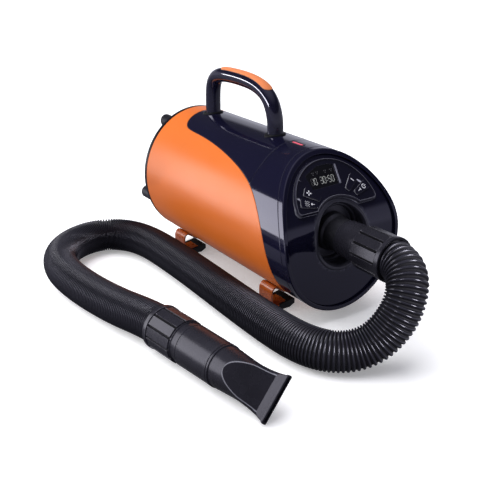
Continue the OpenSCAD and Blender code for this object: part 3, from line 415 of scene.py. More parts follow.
# The CAD nodes' own materials, by what they're made of.
for mt, names in (
    (BLACK, "rear_bulkhead front_bulkhead display_module outlet_spigot indicator_bezel rear_posts "
            "filter_cap power_inlet"),
    (RUBBER, "motor_ring motor_cup handle_gasket_front handle_gasket_rear boot_front_left "
             "boot_front_right boot_rear_left boot_rear_right"),
    (SHEET, "fan_casing motor_frame stator heater_tube thermal_cutout"),
    (STEEL, "rotor front_bearing rear_bearing handle_screws foot_screws rear_cover_screws"),
    (ALUMINIUM, "impeller"),
    (BRASS, "brush_holders heater_windings"),
    (MICA, "heater_frame"),
    (BOARD, "power_board control_board"),
    (FOAM, "filter_foam"),
    (ORANGE, "main_shell"),
    (NAVY, "top_cover front_housing face_plate handle"),
    (BLACK_GLOSS, "front_trim_ring rear_cover"),
    (PANEL, "panel_bezel key_fan key_heat key_minus key_power"),
    (SCREEN, "display_window"),
    (GRIP, "handle_grip"),
    (LENS, "indicator_lens"),
    (FOOT, "foot_front_left foot_front_right foot_rear_left foot_rear_right"),
    (CUFF, "hose_cuff nozzle_cuff connector_sleeve flat_nozzle"),
    (HOSE, "hose"),
):
    for key in names.split():
        ob = frame["nodes"][key]
        if not ob.material_slots:
            ob.data.materials.append(None)
        for s in ob.material_slots:
            s.material = mt

# ---------------------------------------------------------------- hose
HOSE_R = 24.0
CUFF_END = -259.0
HOSE_SEAT = 46.0
FAR = np.array([-222.0, -109.0, 28.6])
TURN, DIP = math.radians(7.2), math.radians(0.9)
FAR_DIR = np.array([math.sin(TURN) * math.cos(DIP), -math.cos(TURN) * math.cos(DIP), -math.sin(DIP)])
route = [[0, CUFF_END + HOSE_SEAT - t, AXIS_H] for t in (0, 15, 31, 46, 52)]
route += [[-3, -280, 108], [-10, -292, 97], [-18, -297, 81], [-26, -297, 65], [-35, -293, 50],
          [-47, -288, 37], [-61, -280, 28], [-77, -271, 24], [-93, -258, 24], [-103, -238, 24],
          [-109, -208, 24], [-110, -160, 24], [-109, -105, 24], [-107, -45, 24], [-105, 20, 24],
          [-105, 85, 24], [-107, 138, 24], [-117, 174, 24], [-137, 198, 24], [-165, 207, 24],
          [-193, 201, 24], [-219, 185, 24], [-239, 160, 24], [-250, 129, 24], [-253, 98, 24],
          [-252, 64, 24], [-248, 28, 24], [-243, -6, 25], [-237, -38, 26], [-230, -66, 28]]
route += [(FAR + t * FAR_DIR).tolist() for t in (-12, 0, 15, 31, 46)]
line = spline(route, 24)
fine, hose_len = resample(line, step=0.25)
fine_s = np.linspace(0, hose_len, len(fine))
# The ribs are drawn out by the outlet and lie close along the rest of the hose.
gap_at = np.interp(fine_s, [0, 45, 75, 110, 170, 200, 225, 250, 300, 420, 640, 730, 900, 1116],
                   [5.6, 5.6, 5.0, 4.95, 5.15, 4.3, 3.6, 3.35, 3.2, 3.3, 3.4, 3.5, 3.3, 3.1])
turns = np.concatenate([[0], np.cumsum(0.5 * (1 / gap_at[1:] + 1 / gap_at[:-1]) * np.diff(fine_s))])
RIBS = int(round(turns[-1]))
turns *= RIBS / turns[-1]
SIDES = 36
BORE_R = 20.0
# A rib is a round bead on a flat valley: places along it, and the bead's half width in ribs.
RIB_STEPS = np.array([0.0, 0.155, 0.19, 0.225, 0.29, 0.38, 0.5, 0.62, 0.71, 0.775, 0.81, 0.845])
BEAD = 0.33
around = np.linspace(0, 2 * pi, SIDES + 1)[:-1]


def crest(t):
    """1 on top of a rib, 0 in the valley beside it."""
    off = np.abs(t % 1.0 - 0.5) / BEAD
    return np.sqrt(np.clip(1 - np.clip(off, 0, 1) ** 2, 0, 1))


def rib_radius(t):
    """The hose's outer radius at t ribs along it. The valleys are deepest where it bends back."""
    deep = 0.5 * np.interp(t, turns, gap_at)
    deep += np.interp(np.interp(t, turns, fine_s), [610, 650, 740, 780], [0, 1.2, 1.2, 0])
    return HOSE_R - deep * (1 - crest(t))


def tube(at_t, radius, sign):
    """A tube round the route, at places counted in ribs, with normals that follow its ribs."""
    place_s = np.interp(at_t, turns, fine_s)
    path = np.stack([np.interp(place_s, fine_s, fine[:, k]) for k in range(3)], 1)
    side, along = carried(path, [1, 0, 0])
    over = np.cross(along, side)
    rad = (np.cos(around)[None, :, None] * side[:, None] + np.sin(around)[None, :, None] * over[:, None])
    r = radius(at_t)
    e = 0.02
    slope = (radius(at_t + e) - radius(at_t - e)) / (2 * e) / np.interp(at_t, turns, gap_at)
    nr = unit(rad - slope[:, None, None] * along[:, None]) * sign
    v = path[:, None] + r[:, None, None] * rad
    return v.reshape(-1, 3), nr.reshape(-1, 3), grid_faces(len(path), SIDES, False, True)


def bore_radius(t):
    return np.full(len(t), BORE_R)


outer_t = np.append((np.arange(RIBS)[:, None] + RIB_STEPS).ravel(), RIBS)
outer, inner = tube(outer_t, rib_radius, 1), tube(np.linspace(0, RIBS, RIBS + 1), bore_radius, -1)
ends = []
for ring, end, beside in ((slice(0, SIDES), 0, 1), (slice(-SIDES, None), -1, -2)):
    away = unit(fine[end] - fine[beside])
    ends.append((np.vstack([inner[0][ring], outer[0][ring]]), np.tile(away, (2 * SIDES, 1)),
                 grid_faces(2, SIDES, False, True)))
hose = put("ribbed_hose", joined([outer, inner] + ends), nodes=["hose"], mat=HOSE)
# Where this is 0, in the valleys between the ribs, the hose gets a painted shade: near black and matte.
mark_points(hose, "crest", np.repeat(crest(outer_t), SIDES), 0.0)

# ---------------------------------------------------------------- warped sheets
def bent_normals(warp, u, v, h, nu, nv, nh):
    """Turns normals given in a warp's own coordinates into real ones."""
    e = 1e-3
    ju = (warp(u + e, v, h) - warp(u - e, v, h)) / (2 * e)
    jv = (warp(u, v + e, h) - warp(u, v - e, h)) / (2 * e)
    jh = (warp(u, v, h + e) - warp(u, v, h - e)) / (2 * e)
    out = np.cross(jv, jh) * nu[:, None] + np.cross(jh, ju) * nv[:, None] + np.cross(ju, jv) * nh[:, None]
    det = np.einsum("ij,ij->i", ju, np.cross(jv, jh))
    return unit(out * np.sign(det)[:, None])


def warped(warp, p, h, flat, rise):
    """Points p at a height h in a warp, and their normals, from the parts along the sheet and out of it."""
    h, rise = np.full(len(p), h), np.full(len(p), rise)
    return warp(p[:, 0], p[:, 1], h), bent_normals(warp, p[:, 0], p[:, 1], h, flat[:, 0], flat[:, 1], rise)


def inset(loop, d):
    """A closed outline moved to its left by d."""
    p = np.asarray(loop, float)
    e = unit(np.roll(p, -1, 0) - p)
    n2 = np.stack([-e[:, 1], e[:, 0]], 1)
    n1 = np.roll(n2, 1, 0)
    b = unit(n1 + n2)
    k = d / np.clip(np.einsum("ij,ij->i", b, n1), 0.35, 1)
    return p + b * k[:, None], -b


def inside(loops, q):
    """Which points q lie in the first outline and in none of the others."""
    found = []
    for loop in loops:
        p, r = np.asarray(loop), np.zeros(len(q), bool)
        for (x0, y0), (x1, y1) in zip(p, np.roll(p, -1, 0)):
            if y0 != y1:
                hit = (y0 > q[:, 1]) != (y1 > q[:, 1])
                r ^= hit & (q[:, 0] < (x1 - x0) * (q[:, 1] - y0) / (y1 - y0) + x0)
        found.append(r)
    return found[0] & ~np.any(found[1:], axis=0) if found[1:] else found[0]


def filled(loops, grid):
    """Triangles that fill the first outline less the others, with a grid of points inside."""
    pts, edges = [], []
    for lp in loops:
        n0 = len(pts)
        pts += [tuple(p) for p in lp]
        edges += [(n0 + i, n0 + (i + 1) % len(lp)) for i in range(len(lp))]
    if grid:
        lo, hi = np.min(loops[0], 0), np.max(loops[0], 0)
        gx = np.linspace(lo[0], hi[0], max(2, int((hi[0] - lo[0]) / grid[0]) + 1))
        gy = np.linspace(lo[1], hi[1], max(2, int((hi[1] - lo[1]) / grid[1]) + 1))
        q = np.array([(x, y) for x in gx for y in gy])
        q = q[inside(loops, q)]
        edge = np.concatenate([np.asarray(lp) for lp in loops])
        gap = np.full(len(q), 1e9)
        for k in range(0, len(edge), 400):
            d = np.linalg.norm((q[:, None] - edge[None, k:k + 400]) / list(grid), axis=2)
            gap = np.minimum(gap, d.min(1))
        pts += [tuple(p) for p in q[gap > 0.35]]
    r = delaunay_2d_cdt([Vector(p) for p in pts], edges, [], 0, 1e-7)
    v = np.array([tuple(p) for p in r[0]])
    f = np.array([tuple(t) for t in r[2]])
    return v, f[inside(loops, v[f].mean(1))]


def edge_levels(t, r, r2=0.0, top=0.0, segs=4):
    """Rounded top edge, wall and lower edge of a sheet: distance in, height, normal's angle."""
    out = [(r - r * math.sin(a), top - r + r * math.cos(a), a)
           for a in [pi / 2 * k / segs for k in range(segs + 1)]]
    if r2:
        out += [(r2 - r2 * math.sin(a), top - t + r2 + r2 * math.cos(a), a)
                for a in [pi / 2 + pi / 2 * k / segs for k in range(segs + 1)]]
    else:
        out.append((0.0, top - t, pi / 2))
    return out


def sheet(warp, loops, levels, grid=None, cuts=(), wide=None, fix=None):
    """A warped plate with rounded edges. The first outline runs anticlockwise, holes run clockwise.
    levels: one list for all outlines, or one for each, which start and end at the same heights;
    cuts: (outline, point) pairs whose edge has no wall; wide: rounding's share for each outline;
    fix: moves an outline's points where they have to meet something."""
    wide = wide or [1.0] * len(loops)
    each = levels if isinstance(levels[0], list) else [levels] * len(loops)
    parts = []

    def at(i, d):
        p, b = inset(loops[i], d * wide[i])
        return (fix(i, d, p) if fix else p), b

    for end, side in ((0, 1.0), (-1, -1.0)):
        q, f = filled([at(i, each[i][end][0])[0] for i in range(len(loops))], grid)
        parts.append((*warped(warp, q, each[0][end][1], 0 * q, side), [tuple(t) for t in f]))
    for i, loop in enumerate(loops):
        rings = []
        for d, h, a in each[i]:
            p, b = at(i, d)
            rings.append(warped(warp, p, h, b * math.sin(a), math.cos(a)))
        n = len(loop)
        f = [(k * n + j, (k + 1) * n + j, (k + 1) * n + (j + 1) % n, k * n + (j + 1) % n)
             for k in range(len(rings) - 1) for j in range(n) if (i, j) not in cuts]
        parts.append((*(np.concatenate(v) for v in zip(*rings)), f))
    return joined(parts)


def band(warp, rows, ts):
    """A section of (q, w, normal q, normal w) rows swept round through warp(q, w, t)."""
    v, n = (np.concatenate(x) for x in zip(*(warped(warp, rows[:, :2], t, rows[:, 2:], 0.0) for t in ts)))
    return cleaned(v, n, grid_faces(len(ts), len(rows), True, True))


def field(us, vs, fn):
    """A surface fn(u, v) over lists of u, all the way round, and v, with normals from its slopes."""
    e = 1e-4
    g, gu, gv = (np.array([[f(u, v) for v in vs] for u in us]) for f in (
        fn, lambda u, v: fn(u + e, v) - fn(u - e, v), lambda u, v: fn(u, v + e) - fn(u, v - e)))
    return g.reshape(-1, 3), unit(np.cross(gu, gv)).reshape(-1, 3), grid_faces(len(us), len(vs), True, False)


def arc(cx, cy, r, a0, a1, n):
    """n + 1 points round an arc, from a0 to a1 degrees."""
    angles = [math.radians(a0 + (a1 - a0) * k / n) for k in range(n + 1)]
    return [(cx + r * math.cos(a), cy + r * math.sin(a)) for a in angles]


def rounded_loop(pts, r, step=1.2, segs=6):
    """An outline with rounded corners, cut into short pieces."""
    rows = fillet(pts, r, True, segs)[:, :2]
    out = []
    for i, p in enumerate(rows):
        q = rows[(i + 1) % len(rows)]
        n = max(1, int(np.linalg.norm(q - p) / step))
        out += [p + (q - p) * k / n for k in range(n)]
    out = np.array(out)
    return out[np.linalg.norm(out - np.roll(out, 1, 0), axis=1) > 1e-3]


def box_loop(w, h, r, x=0.0, y=0.0, step=1.2):
    """A w by h box round x, y."""
    corners = [(x + i * w / 2, y + j * h / 2) for i, j in ((-1, -1), (1, -1), (1, 1), (-1, 1))]
    return rounded_loop(corners, r, step)


# ---------------------------------------------------------------- body
A, B = 90.5, 96.5
FRONT, REAR = -176.0, 176.0
SHELL_BACK = 169.3
# The face leans back above BEND_Z, and the seam behind it above SEAM_Z.
LEAN, BEND_Z, BEND_SOFT = 0.79, 18.0, 14.0
SEAM_LEAN, SEAM_Z, SEAM_SOFT, SEAM_Y = 0.6, B - 15, 6.0, -76.0
LOW_Y = -136.0
EDGE_GAP = 0.15
tab = np.linspace(0, 2 * pi, 8001)
dl = np.hypot(A * np.cos(tab), B * np.sin(tab))
arc_at = np.concatenate([[0], np.cumsum((dl[1:] + dl[:-1]) / 2 * (tab[1] - tab[0]))])
HALF = arc_at[-1] / 2


def angle_of(u):
    return np.sign(u) * np.interp(np.abs(u), arc_at, tab)


def arc_of(angle):
    return np.sign(angle) * np.interp(np.abs(angle), tab, arc_at)


def oval_top(u, v, h):
    """u round the body from its top line, v along it, h out of its surface."""
    a = angle_of(u)
    s, c = np.sin(a), np.cos(a)
    n = unit(np.stack([s / A, 0 * s, c / B], 1))
    return np.stack([A * s, v, B * c + AXIS_H], 1) + n * h[:, None]


def oval_low(u, v, h):
    """The same from the body's lowest line."""
    p = oval_top(u, v, h)
    p[:, 2] = 2 * AXIS_H - p[:, 2]
    return p


def bent(z, lean, bend, soft):
    """0 below the bend, and a straight lean above it, with a soft turn."""
    return lean * soft * np.logaddexp(0, (z - bend) / soft)


def face_back(z):
    return bent(z, LEAN, BEND_Z, BEND_SOFT)


def seam_y(z):
    return bent(z, SEAM_LEAN, SEAM_Z, SEAM_SOFT) + SEAM_Y


cover = spline([[154.88, 108.5], [134, 88], [121, 82], [104, 80.5], [60, 79.5], [10, 75], [-40, 67],
                [-78, 56], [-104, 39], [-122, 17], [-132, -8], [-136, -32], [-136, -64], [-136, -106.5]], 300)
tip_y = float(np.interp(-B, -cover[:, 1], cover[:, 0]))
cover = cover[(cover[:, 1] < B - 1e-4) & (cover[:, 1] > -B + 1e-4)]
edge_uy = np.stack([arc_of(np.arccos(cover[:, 1] / B)), cover[:, 0]], 1)
edge_uy = np.vstack([[0, tip_y], edge_uy, [HALF, LOW_Y]])
EDGE, _ = resample(edge_uy, step=2.4)
edge_fine, _ = resample(edge_uy, step=0.4)
# The seam meets the colour line at JOIN.
JOIN = edge_fine[np.argmax(edge_fine[:, 1] < seam_y(B * np.cos(angle_of(edge_fine[:, 0]))))]
edge_up = np.vstack([EDGE[EDGE[:, 1] > JOIN[1] + 1.0], JOIN])
edge_down = np.vstack([JOIN, EDGE[EDGE[:, 1] < JOIN[1] - 1.0]])
seam_u = np.linspace(JOIN[0], -JOIN[0], 90)
SEAM = np.stack([seam_u, seam_y(B * np.cos(angle_of(seam_u)))], 1)
SEAM[0, 1] = SEAM[-1, 1] = JOIN[1]
mirror = np.array([-1.0, 1.0])


def shell_edge(r):
    """The edge of a 3 mm shell, half a seam's gap back from its line."""
    return [(d + EDGE_GAP, h, a) for d, h, a in edge_levels(3.0, r, 0.3)]


# Orange shell: one sheet that meets itself along the top, behind the top cover.
low_edge = EDGE.copy()
low_edge[:, 0] = HALF - low_edge[:, 0]
front_edge = np.vstack([low_edge * mirror, low_edge[::-1][1:]])
rear_edge = np.stack([np.linspace(HALF, -HALF, 240), np.full(240, SHELL_BACK)], 1)
shell_loop = np.vstack([front_edge, rear_edge])
n_front = len(front_edge)


def shell_fix(i, d, p):
    """Ends the sheet on its own top line, where it meets itself, and keeps its rear edge straight."""
    p[0], p[n_front - 1] = (-HALF, tip_y + d), (HALF, tip_y + d)
    p[n_front:, 1] = SHELL_BACK + EDGE_GAP - d
    p[n_front, 0], p[-1, 0] = HALF, -HALF
    return p


put("orange_shell", sheet(oval_low, [shell_loop], shell_edge(0.55), grid=(3.0, 7.0), fix=shell_fix,
                          cuts={(0, n_front - 1), (0, len(shell_loop) - 1)}),
    nodes=["main_shell"], mat=ORANGE)

# Top cover.
top_loop = np.vstack([edge_up[::-1], (edge_up * mirror)[1:], SEAM[::-1][1:-1]])
put("dark_top_cover", sheet(oval_top, [top_loop], shell_edge(0.9), grid=(3.0, 7.0)),
    nodes=["top_cover"], mat=NAVY)

# Front housing, with the slot of the status light.
HOUSE_IN = 9.3
n_line = 240
line_u = np.linspace(-HALF, HALF, n_line)
front_line = np.stack([line_u, FRONT + HOUSE_IN + face_back(B * np.cos(angle_of(line_u)))], 1)
house_loop = np.vstack([front_line, edge_down[::-1], SEAM[1:-1], edge_down * mirror])
LIGHT_X, LIGHT_L, LIGHT_W = -3.0, 24.0, 7.0
LIGHT_Y = float(seam_y(np.array([B]))[0]) - 1.5 - LIGHT_L / 2


def light_loop(grow, r, step=0.8):
    """The status light's outline, wider and longer by grow."""
    return box_loop(LIGHT_W + grow, LIGHT_L + grow, r, LIGHT_X, LIGHT_Y, step)


def house_fix(i, d, p):
    """Ends the sheet on the body's lowest line, where it meets itself."""
    if i == 0:
        p[0, 0], p[n_line - 1, 0], p[n_line, 0], p[-1, 0] = -HALF, HALF, HALF, -HALF
        p[n_line, 1] = p[-1, 1] = LOW_Y - d
        p[0, 1] = p[n_line - 1, 1] = front_line[0, 1] + d
    return p


put("dark_front_housing",
    sheet(oval_top, [house_loop, light_loop(0.3, 3.0, 1.2)[::-1]], shell_edge(0.9), grid=(3.0, 6.0),
          cuts={(0, n_line - 1), (0, len(house_loop) - 1)}, fix=house_fix),
    nodes=["front_housing"], mat=NAVY)

# Trim ring round the face.
RIM_W, RIM_D = 5.5, 9.0


def rim(q, w, t):
    a, b = A - q, B - q
    x, z = a * np.sin(t), b * np.cos(t)
    return np.stack([x, FRONT + face_back(z) + w, z + AXIS_H], 1)


rim_rows = fillet([(0, RIM_D), (0, 0), (RIM_W, 0), (RIM_W, RIM_D)], [0.5, 1.2, 0.7, 0.5], True, 6)
put("front_rim", band(rim, rim_rows, np.linspace(0, 2 * pi, 289)[:-1]), nodes=["front_trim_ring"],
    mat=NAVY)

# Face plate with the outlet's recess.
FACE_IN = 3.5


def face(x, z, h):
    y = FRONT + FACE_IN + face_back(z)
    slope = LEAN / (1 + np.exp(-(z - BEND_Z) / BEND_SOFT))
    k = np.hypot(1, slope)
    return np.stack([x, y - h / k, z + AXIS_H + h * slope / k], 1)


LIP_R = 43.6
FACE_EDGE = RIM_W + 0.3
oval_loop = np.array(arc(0, 0, 1, 0, 360, 180)[:-1]) * [A - FACE_EDGE, B - FACE_EDGE]
ring_loop = np.array(arc(0, 0, LIP_R, 0, -360, 144)[:-1])
put("face", sheet(face, [oval_loop, ring_loop], edge_levels(3.0, 0.5), grid=(5.0, 3.5), wide=[1.0, 0.02]),
    nodes=["face_plate"], mat=NAVY)


def recess(q, w, t):
    """q is the radius and w the depth behind the face, which leans in its upper half."""
    z = q * np.sin(t)
    deep = np.clip((w - 4.0) / 20.0, 0, 1)
    base = FRONT + FACE_IN + face_back(z) * (1 - deep) - FACE_IN * deep
    return np.stack([q * np.cos(t), base + w, z + AXIS_H], 1)


recess_rows = fillet([(LIP_R, 0.0), (42.0, -1.1), (39.2, -0.8), (38.0, 1.2), (37.2, 3.0), (36.2, 22.0),
                      (34.0, 25.0), (33.6, 30.0), (24.6, 30.0), (24.6, 33.0), (LIP_R, 33.0)],
                     [0.0, 1.0, 1.2, 0.8, 0.8, 1.5, 1.5, 1.0, 0.5, 0.3, 0.3], True, 3)
put("face_recess", band(recess, recess_rows, np.linspace(0, 2 * pi, 193)[:-1]), mat=PIT)

# ---------------------------------------------------------------- control panel
TILT = math.radians(90) - math.atan(LEAN)
PANEL_Z = 60
PANEL_O = np.array([0, FRONT + FACE_IN + LEAN * (PANEL_Z - BEND_Z), PANEL_Z + AXIS_H])
PANEL_V = np.array([0, math.cos(TILT), math.sin(TILT)])
PANEL_N = np.array([0, -math.sin(TILT), math.cos(TILT)])


def panel(u, v, h):
    return PANEL_O + np.outer(u, [1, 0, 0]) + np.outer(v, PANEL_V) + np.outer(h, PANEL_N)


# The kidney: a round top, a straight lower edge, small corners, and a bay for the outlet.
PANEL_R, PANEL_LOW, CORNER_R, BAY_R, BAY_V = 63.0, -34.0, 7.0, 45.0, -65.0
PANEL_RISE = 1.06
corner_v = PANEL_LOW + CORNER_R
corner_u = math.sqrt((PANEL_R - CORNER_R) ** 2 - CORNER_R ** 2)
corner_a = math.degrees(math.atan2(CORNER_R, corner_u))
bay_x = math.sqrt(BAY_R ** 2 - (PANEL_LOW - BAY_V) ** 2)
bay_a = math.degrees(math.atan2(PANEL_LOW - BAY_V, bay_x))
kidney = [(x, PANEL_LOW + (y - PANEL_LOW) * PANEL_RISE)
          for x, y in arc(0, PANEL_LOW, PANEL_R, corner_a + 2, 178 - corner_a, 90)]
kidney += arc(-corner_u, corner_v, CORNER_R, 180 - corner_a, 270, 10)[1:]
bay_start = len(kidney)
kidney += arc(0, BAY_V, BAY_R, 180 - bay_a, bay_a, 40)
bay_end = len(kidney) - 1
kidney += arc(corner_u, corner_v, CORNER_R, -90, corner_a, 10)[:-1]
kidney = rounded_loop(kidney, [1.6 if -1 <= i - bay_start <= 1 or 0 <= i - bay_end <= 2 else 0
                               for i in range(len(kidney))], 1.5)
BEZEL_H, KEY_TOP = 3.0, 3.4
window = [(-27, -5), (13.5, -4), (15.5, 22), (7, 24), (-9, 23.5), (-31, 14)]
SEATS = {"fan": (144.5, 39.5), "heat": (162.5, 43.5), "minus": (42, 41), "power": (22, 46)}
KEY_L, KEY_OUT, KEY_IN, KEY_GAP = 23.0, 11.5, 7.0, 0.3


def key_loop(grow, r):
    """A key's outline: wider on its outer side."""
    right, left = (KEY_L / 2 + grow, KEY_OUT / 2 + grow), (-KEY_L / 2 - grow, KEY_IN / 2 + grow)
    return rounded_loop([(left[0], -left[1]), (right[0], -right[1]), right, left], r, 1.0, 5)


def on_key(seat, p):
    """An outline moved to a key's seat: an angle and a distance from the middle of the panel's lower edge."""
    return turned(np.asarray(p, float) + [seat[1], 0], math.radians(seat[0])) + [0, PANEL_LOW]


holes = [rounded_loop(window, 2.0)] + [on_key(seat, key_loop(KEY_GAP, 1.6)) for seat in SEATS.values()]
FIELD_H = 1.3
border = [(3.3, FIELD_H, 0.0), (3.1, FIELD_H + 0.08, -0.5), (2.95, FIELD_H + 0.3, -1.3),
          (2.7, BEZEL_H - 0.35, -1.3), (2.5, BEZEL_H - 0.08, -0.6), (2.2, BEZEL_H, 0.0),
          (1.9, BEZEL_H - 0.1, 0.5), (0.5, BEZEL_H - 1.5, 0.785), (0.15, BEZEL_H - 1.95, 1.0),
          (0.0, BEZEL_H - 2.4, pi / 2), (0.0, -2.5, pi / 2)]
sill, slot_edge = (edge_levels(2.5 + FIELD_H, r, top=FIELD_H) for r in (0.3, 0.35))
put("panel_surround",
    sheet(panel, [kidney] + [hole[::-1] for hole in holes], [border, sill] + [slot_edge] * 4, grid=(7, 7)),
    nodes=["panel_bezel"], mat=PANEL)
GLASS_TOP = FIELD_H - 0.5
put("display_glass", sheet(panel, [inset(holes[0], 0.15)[0]], edge_levels(0.55, 0.25, top=GLASS_TOP, segs=3)),
    nodes=["display_window"], mat=SCREEN)


# The raised right edge of the display, light grey: a painted highlight.
edge_at = [(14.6, -4.5), (17.2, -4.7), (19.4, 21.4), (16.8, 22.4)]
put("display_edge", sheet(panel, [rounded_loop(edge_at, 0.8)],
                          [(1.15, 2.7, 0.0), (0.8, 2.62, 0.35), (0.45, 2.25, 1.2),
                           (0.25, FIELD_H + 0.1, 1.25), (0.0, FIELD_H - 0.4, pi / 2)]),
    mat=PAINTED_CHAMFER_HIGHLIGHT)


def flat_piece(loops, top, t, r):
    """Small raised marks on the panel: each outline is a mark of its own."""
    return joined([sheet(panel, [np.array(lp)], edge_levels(t, r, top=top, segs=2)) for lp in loops])


def bar_loop(x0, y0, x1, y1, w):
    """A bar with pointed ends, as in a seven-segment digit."""
    d = unit(np.array([x1 - x0, y1 - y0]))
    n = np.array([-d[1], d[0]]) * w / 2
    a, b = np.array([x0, y0]), np.array([x1, y1])
    return np.array([a, a + d * w / 2 - n, b - d * w / 2 - n, b, b - d * w / 2 + n, a + d * w / 2 + n])


SEGMENTS = {"0": "abcdef", "1": "bc", "3": "abgcd", "5": "afgcd"}
DIGIT_W, DIGIT_H, SLANT = 3.5, 8.4, 0.07
# Each letter is one bar of a digit, from x, y to x, y, a little short of its corners.
w, h, short = DIGIT_W, DIGIT_H, 0.25
BARS = {"a": (short, h, w - short, h), "g": (short, h / 2, w - short, h / 2), "d": (short, 0, w - short, 0),
        "f": (0, h / 2 + short, 0, h - short), "b": (w, h / 2 + short, w, h - short),
        "e": (0, short, 0, h / 2 - short), "c": (w, short, w, h / 2 - short)}
lit, faint = [], []
for x, digit in zip((-25.4, -20.6, -11.4, -6.8, 0.9, 6.0), "103050"):
    for letter, (x0, y0, x1, y1) in BARS.items():
        lp = bar_loop(x + x0 + y0 * SLANT, y0 + 0.6, x + x1 + y1 * SLANT, y1 + 0.6, 0.72)
        (lit if letter in SEGMENTS[digit] else faint).append(lp)
lit += [arc(-1.2 + y * SLANT, y, 0.5, 0, 330, 11) for y in (3.2, 6.4)]
put("display_digits", flat_piece(lit, GLASS_TOP + 0.05, 0.12, 0.02), mat=DIGIT)
for x, y in ((-18.7, 15.0), (-12.2, 15.6), (0.5, 15.4), (9.7, 15.6)):
    faint += [arc(x + 1.5 * math.cos(a), y + 1.5 * math.sin(a), 0.75, 0, 330, 11) for a in (0.5, 2.6, 4.7)]
put("display_faint_marks", flat_piece(faint, GLASS_TOP + 0.03, 0.1, 0.02), mat=GHOST)

blade = [(0.4, -0.3), (1.6, -1.5), (3.1, -1.3), (3.4, 0.1), (1.6, 0.45)]
waves = [[(0.2 + 0.36 * j, 0.75 * math.sin(j * 0.75) - 2.7 + 2.5 * k) for j in range(18)] for k in range(3)]
marks = {
    "fan": [turned(blade, pi / 2 * k + 0.5) + [5.6, 0] for k in range(4)],
    "heat": [wave + [(x, y + 0.5) for x, y in wave[::-1]] for wave in waves]
    + [arc(-3.2, 0, 1.3, 0, 340, 17), box_loop(4.2, 0.8, 0.3, -5.0)],
    "minus": [box_loop(1.3, 5.0, 0.4, 4.4)],
    "power": [arc(4.6, 0, 3.1, 40, 320, 24) + arc(4.6, 0, 2.2, 320, 40, 24), box_loop(3.6, 0.9, 0.3, 6.6),
              box_loop(0.9, 3.6, 0.3, -2.4), box_loop(3.6, 0.9, 0.3, -4.9)],
}
for key, seat in SEATS.items():
    put("key_cap_" + key,
        sheet(panel, [on_key(seat, key_loop(0, 1.4))], edge_levels(2.4, 0.55, top=KEY_TOP, segs=5)),
        body=key + "_key", nodes=["key_" + key], mat=KEY)
    put("key_mark_" + key, flat_piece([on_key(seat, p) for p in marks[key]], KEY_TOP + 0.07, 0.15, 0.03),
        body=key + "_key", mat=MARK)

# ---------------------------------------------------------------- status light
put("light_frame",
    sheet(oval_top, [light_loop(0, 3.0), light_loop(-2.6, 1.9)[::-1]], edge_levels(4.0, 0.5, top=0.35)),
    nodes=["indicator_bezel"], mat=BLACK)
put("light_lens", sheet(oval_top, [light_loop(-2.7, 1.9)], edge_levels(1.5, 0.6, top=-0.1), grid=(1.5, 4)),
    nodes=["indicator_lens"], mat=LENS)

# ---------------------------------------------------------------- handle
HANDLE_FRONT, HANDLE_REAR = -0.162 * REAR, 0.702 * REAR
arch = [(0.6875, 1.4715), (0.6136, 1.5959), (0.4432, 1.6269), (0.2386, 1.6269), (0.0795, 1.6062),
        (-0.0568, 1.5233), (-0.1307, 1.3679)]
handle_points = [[HANDLE_REAR, k * B] for k in (0.89, 1.08, 1.285)]
handle_points += [[y * REAR, z * B] for y, z in arch]
handle_points += [[HANDLE_FRONT, k * B] for k in (1.18, 1.036, 0.89)]
bar_line, bar_len = resample(spline(handle_points, 60), 170)
bar_s = np.linspace(0, bar_len, len(bar_line))
bar_d = headings(bar_line)
BAR_X, BAR_OUT, BAR_U = 11.0, 10.0, 10.5


def bar(u, s, h):
    """u round the bar from its outer side, s along it, h out of its surface."""
    p, d = (np.stack([np.interp(s, bar_s, values[:, k]) for k in (0, 1)], 1) for values in (bar_line, bar_d))
    d = unit(d)
    out = np.stack([0 * s, d[:, 1], -d[:, 0]], 1)
    middle = np.stack([0 * s, p[:, 0], p[:, 1] + AXIS_H], 1)
    a = u / BAR_U
    return middle + np.outer(np.sin(a) * (BAR_X + h), [1, 0, 0]) + out * (np.cos(a) * (BAR_OUT + h))[:, None]


bar_us = np.linspace(-BAR_U * pi, BAR_U * pi, 49)[:-1]
# The bar's ends go on inside the body, below 92 mm over its axis, and aren't made.
seen_s = bar_s[bar_line[:, 1] > 92]
rings = [warped(bar, np.stack([bar_us, np.full(len(bar_us), s)], 1), 0.0, np.zeros((len(bar_us), 2)), 1.0)
         for s in seen_s]
bar_v, bar_n = (np.concatenate(v) for v in zip(*rings))
put("handle_bar", (bar_v, bar_n, grid_faces(len(seen_s), len(bar_us), False, True)),
    nodes=["handle"], mat=BAR)
# The grip's ends along the bar, found by where they are along the body.
s_rear = float(np.interp(-0.534 * REAR, -bar_line[40:130, 0], bar_s[40:130]))
s_front = float(np.interp(0.06 * REAR, -bar_line[60:160, 0], bar_s[60:160]))
GRIP_W = 7.3
pill = arc(0, s_front - GRIP_W, GRIP_W, 0, 180, 16) + arc(0, s_rear + GRIP_W, GRIP_W, 180, 360, 16)
pill = rounded_loop(pill, 0, 2.0)
put("handle_soft_grip", sheet(bar, [pill], edge_levels(2.4, 0.9, top=1.0, segs=5), grid=(2.0, 3.0)),
    nodes=["handle_grip"], mat=GRIP)
# A thin black band round the grip: a painted shadow along its gap with the bar.
put("handle_grip_shadow_line",
    sheet(bar, [inset(pill, -0.55)[0]], edge_levels(1.0, 0.1, top=0.12, segs=2), grid=(2.0, 3.0)),
    mat=BLACK)

